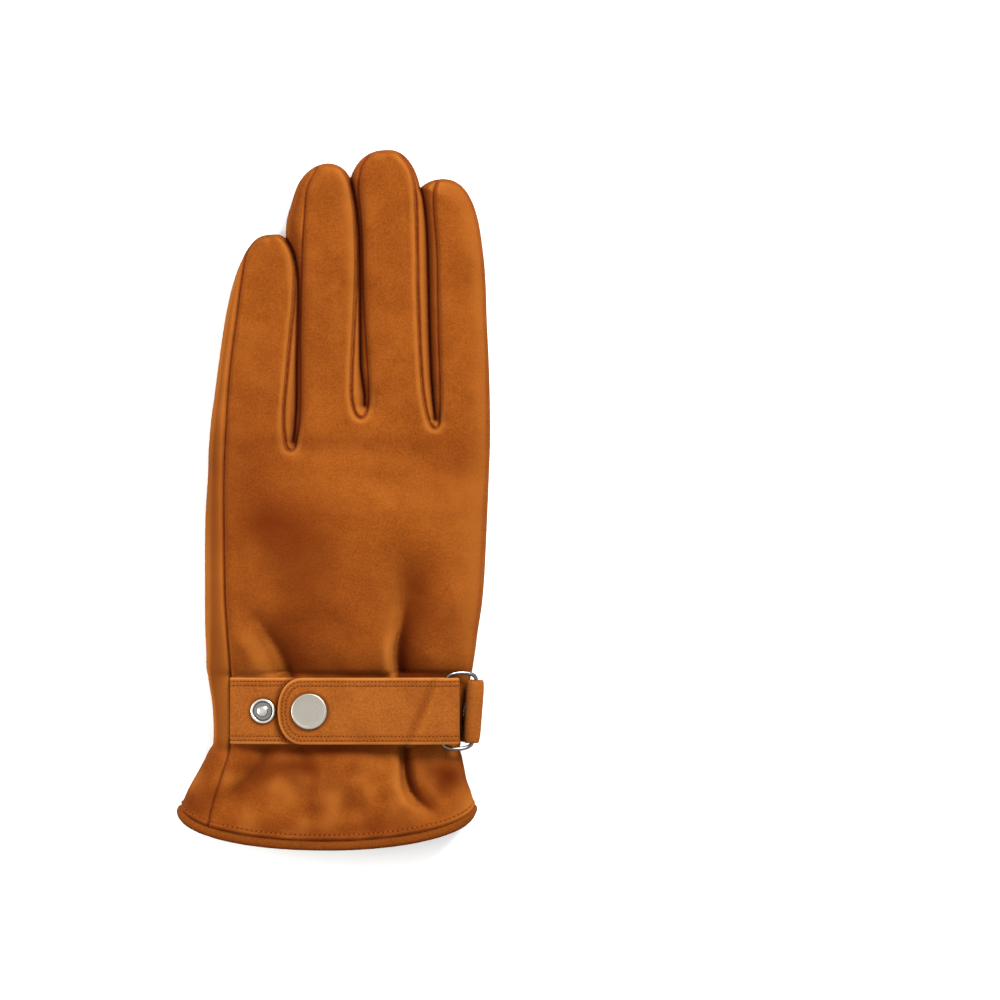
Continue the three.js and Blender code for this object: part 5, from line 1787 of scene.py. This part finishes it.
def turned(profile, x):
    """A profile of radius and height spun into a solid, standing on the strap at x."""
    before, after = strap_middle(x - SNAP_SPAN / 2), strap_middle(x + SNAP_SPAN / 2)
    slope = math.atan2(float(after - before), SNAP_SPAN)
    base = float(strap_middle(x)) + STRAP_THICK / 2
    turn = around(SNAP_SIDES)
    rings = []
    for radius, height in profile:
        across = radius * np.cos(turn)
        rings.append(np.stack([
            x + across * math.cos(slope) - height * math.sin(slope),
            STRAP_Y + radius * np.sin(turn),
            base + across * math.sin(slope) + height * math.cos(slope),
        ], axis=1))
    faces, first, last = open_tube(len(rings), SNAP_SIDES)
    return np.vstack(rings), faces + [first[::-1], last]


print("angle between two of a snap's sides:", 360 / SNAP_SIDES)

# %% The open stud
# it starts inside the strap, goes out to the rim and over it, down into a trough and up the post
STUD_PROFILE = [
    (1.3, -1.2), (1.3, 0.02), (STUD_R - 0.35, 0.02), (STUD_R - 0.08, 0.12), (STUD_R, 0.38),
    (STUD_R - 0.08, 0.66), (STUD_R - 0.32, 0.88), (STUD_R - 0.62, 0.95), (STUD_R - 0.92, 0.84),
    (STUD_R - 1.12, 0.58), (STUD_R - 1.24, 0.34), (STUD_R - 1.5, 0.26), (2.3, 0.26), (1.78, 0.34),
    (1.62, 0.6), (1.7, 1.3), (1.94, 1.75), (1.98, 1.95), (1.9, 2.15), (1.68, 2.34), (1.36, 2.48),
    (0.98, 2.58), (0.56, 2.64), (0.12, 2.66),
]
# how much painted shade each ring gets: none on the rim and the post's top, which stay bright,
# and most in the trough between them
STUD_SHADE = [0.0] * 8 + [0.1, 0.35, 0.5, 0.6, 0.68, 0.74, 0.8, 0.7, 0.5]
STUD_SHADE += [0.46, 0.42, 0.36, 0.28, 0.18, 0.1, 0.0]
stud_points, stud_faces = turned(STUD_PROFILE, STUD_X)
stud_piece = make_piece(
    "open_stud", stud_points, stud_faces, POLISHED, "polished_steel",
    seam=np.repeat(STUD_SHADE, SNAP_SIDES),
)
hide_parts("stud_open")
print("faces of the open stud:", len(stud_faces))

# %% The cap and the hidden stud
# the cap starts inside the upper layer and has a rolled rim round a nearly flat middle
CAP_LOW = STRAP_THICK + LAYER_GAP
CAP_ROWS = [
    (1.5, -0.9), (1.5, 0.1), (CAP_R - 0.3, 0.1), (CAP_R - 0.08, 0.22), (CAP_R, 0.45),
    (CAP_R - 0.03, 0.85), (CAP_R - 0.14, 1.08), (CAP_R - 0.36, 1.2), (CAP_R - 0.62, 1.22),
    (CAP_R - 0.8, 1.16), (CAP_R - 0.95, 1.13), (3.0, 1.15), (0.2, 1.16),
]
cap_profile = [(radius, CAP_LOW + height) for radius, height in CAP_ROWS]
cap_points, cap_faces = turned(cap_profile, CAP_X)
cap_piece = make_piece("closed_cap", cap_points, cap_faces, SATIN, "satin_steel")
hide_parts("snap_cap")
hidden_stud = bpy.data.objects["stud_fastened"]
hidden_stud.data.materials.clear()
hidden_stud.data.materials.append(POLISHED)
print("faces of the cap:", len(cap_faces))

# %% [markdown]
# ## Stitches
# Each stitch is a short grain of thread, half sunk in the leather, and a needle hole lies between
# each two. Each hole is a small grain in a very dark suede: painted shade. The strap has two rows
# along its edges, and one row holds the hem's binding. A line drawn in a texture would stay flat
# in light from the side, so each grain is a small rounded shape of its own, laid at an even pitch.


# %% Make grains and lay them at a pitch
GRAIN_SIDES, GRAIN_RINGS = 8, (-0.32, 0.0, 0.32)


def grains(centres, ways, ups, length, width, height):
    """Small rounded grains of thread: a point, a few rings and a point again."""
    turn = around(GRAIN_SIDES)
    points, faces = [], []
    for centre, way, up, side in zip(centres, ways, ups, np.cross(ups, ways)):
        first = len(points)
        points.append(centre - way * length / 2)
        for share in GRAIN_RINGS:
            size = math.sqrt(1 - (2 * share) ** 2)
            for angle in turn:
                ring = side * math.cos(angle) * width / 2 + up * math.sin(angle) * height / 2
                points.append(centre + way * length * share + ring * size)
        points.append(centre + way * length / 2)
        last = len(points) - 1
        for number in range(GRAIN_SIDES):
            beside = (number + 1) % GRAIN_SIDES
            faces.append((first, first + 1 + beside, first + 1 + number))
            for row in range(len(GRAIN_RINGS) - 1):
                start = first + 1 + GRAIN_SIDES * row
                ahead = start + GRAIN_SIDES
                faces.append((start + number, start + beside, ahead + beside, ahead + number))
            faces.append((last, last - GRAIN_SIDES + number, last - GRAIN_SIDES + beside))
    return np.array(points), faces


def stitched_line(places, pitch, shift):
    """Places at an even pitch along an open line, from half a pitch and a shift after its start."""
    stations = np.arange(pitch / 2 + shift, length_along(places)[-1], pitch)
    return places_on(places, stations)


print("points of one grain:", 2 + GRAIN_SIDES * len(GRAIN_RINGS))

# %% Stitch the strap
# length, width, height and how deep the middle is sunk, for a thread and for a needle hole
STRAP_THREAD, STRAP_HOLE = (0.92, 0.36, 0.32, 0.10), (0.46, 0.42, 0.20, 0.17)
STRAP_PITCH, LOOK_UP, LOOK_AHEAD = 1.33, 0.5, 0.2


def strap_row(row, shift, length, width, height, sunk):
    """A row of grains at a distance from the strap's edge, on the outer side of each layer."""
    flat = stitched_line(edge_line(row), STRAP_PITCH, shift)
    ahead = flat + np.diff(flat, axis=0, append=2 * flat[-1:] - flat[-2:-1]) * LOOK_AHEAD
    upper = flat[:, 0] > turn_run
    outer = np.where(upper, -1.0, 1.0)
    crease = np.where(upper, crease_depth(path_at(flat[:, 0])[0], flat[:, 1]), 0)
    surface = STRAP_THICK / 2 - sunk - crease
    here = on_strap(*flat.T, surface * outer)
    above = on_strap(*flat.T, (surface + LOOK_UP) * outer)
    ways = unit(on_strap(*ahead.T, surface * outer) - here)
    return grains(here, ways, (above - here) / LOOK_UP, length, width, height)


strap_threads = [strap_row(row, 0.0, *STRAP_THREAD) for row in STITCH_ROWS]
strap_holes = [strap_row(row, STRAP_PITCH / 2, *STRAP_HOLE) for row in STITCH_ROWS]
print("rows of stitches on the strap:", len(strap_threads))

# %% Stitch the hem
# length, width, height and how far the middle stands above the leather
HEM_THREAD, HEM_HOLE = (1.2, 0.42, 0.36, 0.20), (0.52, 0.46, 0.22, 0.10)
HEM_PITCH, HEM_FIRST_X, HEM_LAST_X = 1.75, -54.5, 50.0
hem_x = np.linspace(HEM_FIRST_X, HEM_LAST_X, 400)
hem_share = np.clip((hem_x - HEM_MIDDLE) / HEM_HALF, -1, 1)
hem_y = HEM_Y - HEM_SAG * np.sqrt(1 - hem_share**2) + BINDING_ROOM + HEM_STITCH_UP
hem_line = np.stack([hem_x, hem_y, top_height(hem_x, hem_y)], axis=1)


def hem_row(shift, length, width, height, lift):
    """The row of grains along the hem, on the back of the cuff."""
    here = stitched_line(hem_line, HEM_PITCH, shift) + (0, 0, lift)
    ways = unit(np.gradient(here, axis=0))
    ups = np.cross(ways, np.array([0.0, 1.0, 0.0]))
    ups = unit(np.where(ups[:, 2:3] < 0, -ups, ups))
    return grains(here, ways, ups, length, width, height)


hem_threads = [hem_row(0.0, *HEM_THREAD)]
hem_holes = [hem_row(HEM_PITCH / 2, *HEM_HOLE)]
print("length of the row on the hem, in millimetres:", round(float(length_along(hem_line)[-1])))

# %% Turn the grains into pieces
THREAD = suede_material("thread", 1.3)
# needle holes are dark grains: painted shade in the holes
NEEDLE_HOLE_SHADE = suede_material("needle hole", 0.16)


def joined(parts):
    """Several lists of points and faces as one."""
    points, faces, count = [], [], 0
    for part_points, part_faces in parts:
        points.append(part_points)
        faces += [tuple(number + count for number in face) for face in part_faces]
        count += len(part_points)
    return np.vstack(points), faces


for label, parts, material, slot in (
    ("hem_stitches", hem_threads, THREAD, "suede_binding"),
    ("hem_needle_holes", hem_holes, NEEDLE_HOLE_SHADE, "suede_binding"),
    ("strap_stitches", strap_threads, THREAD, "suede_strap"),
    ("strap_needle_holes", strap_holes, NEEDLE_HOLE_SHADE, "suede_strap"),
):
    points, faces = joined(parts)
    make_piece(label, points, faces, material, slot)
    print(label, len(faces), "faces")

# %% [markdown]
# ## The table
# The glove lies on a white table. Only its soft shadow shows there, so the table is one large
# square without gloss, in a white that stays just below the brightest tone. It is scenery, and
# isn't part of the glove.

# %% A white table
FLOOR_HALF = 3.0
TABLE_TONE, TABLE_MARKS, TABLE_MARK_SIZE = 0.57, 0.01, 400.0
corners = [(-1, -1), (1, -1), (1, 1), (-1, 1)]
floor_mesh = bpy.data.meshes.new("floor")
floor_points = [(FLOOR_HALF * x, FLOOR_HALF * y, 0) for x, y in corners]
floor_mesh.from_pydata(floor_points, [], [(0, 1, 2, 3)])
floor = in_scene("floor", floor_mesh)
white = bpy.data.materials.new("white table")
white.use_nodes = True
white_shader = white.node_tree.nodes["Principled BSDF"]
white_place = add_node(white, "ShaderNodeTexCoord").outputs["Object"]
white_marks = noise_at(white, white_place, TABLE_MARK_SIZE, 1.0)
varied_white = math_node(white, "MULTIPLY", white_marks, TABLE_MARKS)
white_tone = math_node(white, "ADD", varied_white, TABLE_TONE)
white_colour = add_node(white, "ShaderNodeCombineColor")
for channel in ("Red", "Green", "Blue"):
    white.node_tree.links.new(white_tone, white_colour.inputs[channel])
white.node_tree.links.new(white_colour.outputs[0], white_shader.inputs["Base Color"])
white_shader.inputs["Roughness"].default_value = 1.0
white_shader.inputs["Specular IOR Level"].default_value = 0.0
floor_mesh.materials.append(white)
print("the table is", 2 * FLOOR_HALF, "metres wide")

# %% [markdown]
# ## Light
# The picture was taken in a studio with soft light from everywhere, a stronger light beyond the
# fingertips on the index finger's side, and a weaker one from the little finger's side. Large
# round lamps give the same soft shadows. Sharp ones would draw every fold too hard.


# %% The sky and two lamps
def soft_light(name, place, size, watts):
    """A round lamp that points at the glove, with its place and size in metres."""
    data = bpy.data.lights.new(name, "AREA")
    data.shape = "DISK"
    data.size = size
    data.energy = watts
    data.color = LAMP_COLOUR
    light = in_scene(name, data)
    light.location = place
    light.rotation_euler = (-Vector(place)).to_track_quat("-Z", "Y").to_euler()


SKY_COLOUR, SKY_STRENGTH = (1.0, 0.99, 0.975, 1), 1.75
LAMP_COLOUR = (1.0, 0.99, 0.97)
world = bpy.data.worlds.new("studio")
bpy.context.scene.world = world
world.use_nodes = True
sky = world.node_tree.nodes["Background"]
sky.inputs["Color"].default_value = SKY_COLOUR
sky.inputs["Strength"].default_value = SKY_STRENGTH
soft_light("key", (0.8, 1.15, 1.15), 0.8, 96.0)
soft_light("fill", (-1.5, -0.05, 0.75), 1.2, 46.0)
print("lamps:", len(bpy.data.lights))

# %% [markdown]
# ## Camera
# The camera looks straight down, as in the photograph, from far enough away that the picture has
# almost no perspective. Its lens is worked out so that a plane a little above the table fills
# the picture at the photograph's scale.

# %% The camera above the glove
CAMERA_AT = (0.06012, 0.0, 1.8)
PICTURE_WIDTH, PICTURE_HEIGHT_AT, SENSOR = 0.36, 0.008, 36.0
camera_data = bpy.data.cameras.new("camera")
camera_data.sensor_width = SENSOR
camera_data.lens = SENSOR * (CAMERA_AT[2] - PICTURE_HEIGHT_AT) / PICTURE_WIDTH
camera = in_scene("camera", camera_data)
camera.location = CAMERA_AT
bpy.context.scene.camera = camera
bpy.context.scene.view_settings.view_transform = "Standard"
print("lens, in millimetres:", round(camera_data.lens, 1))
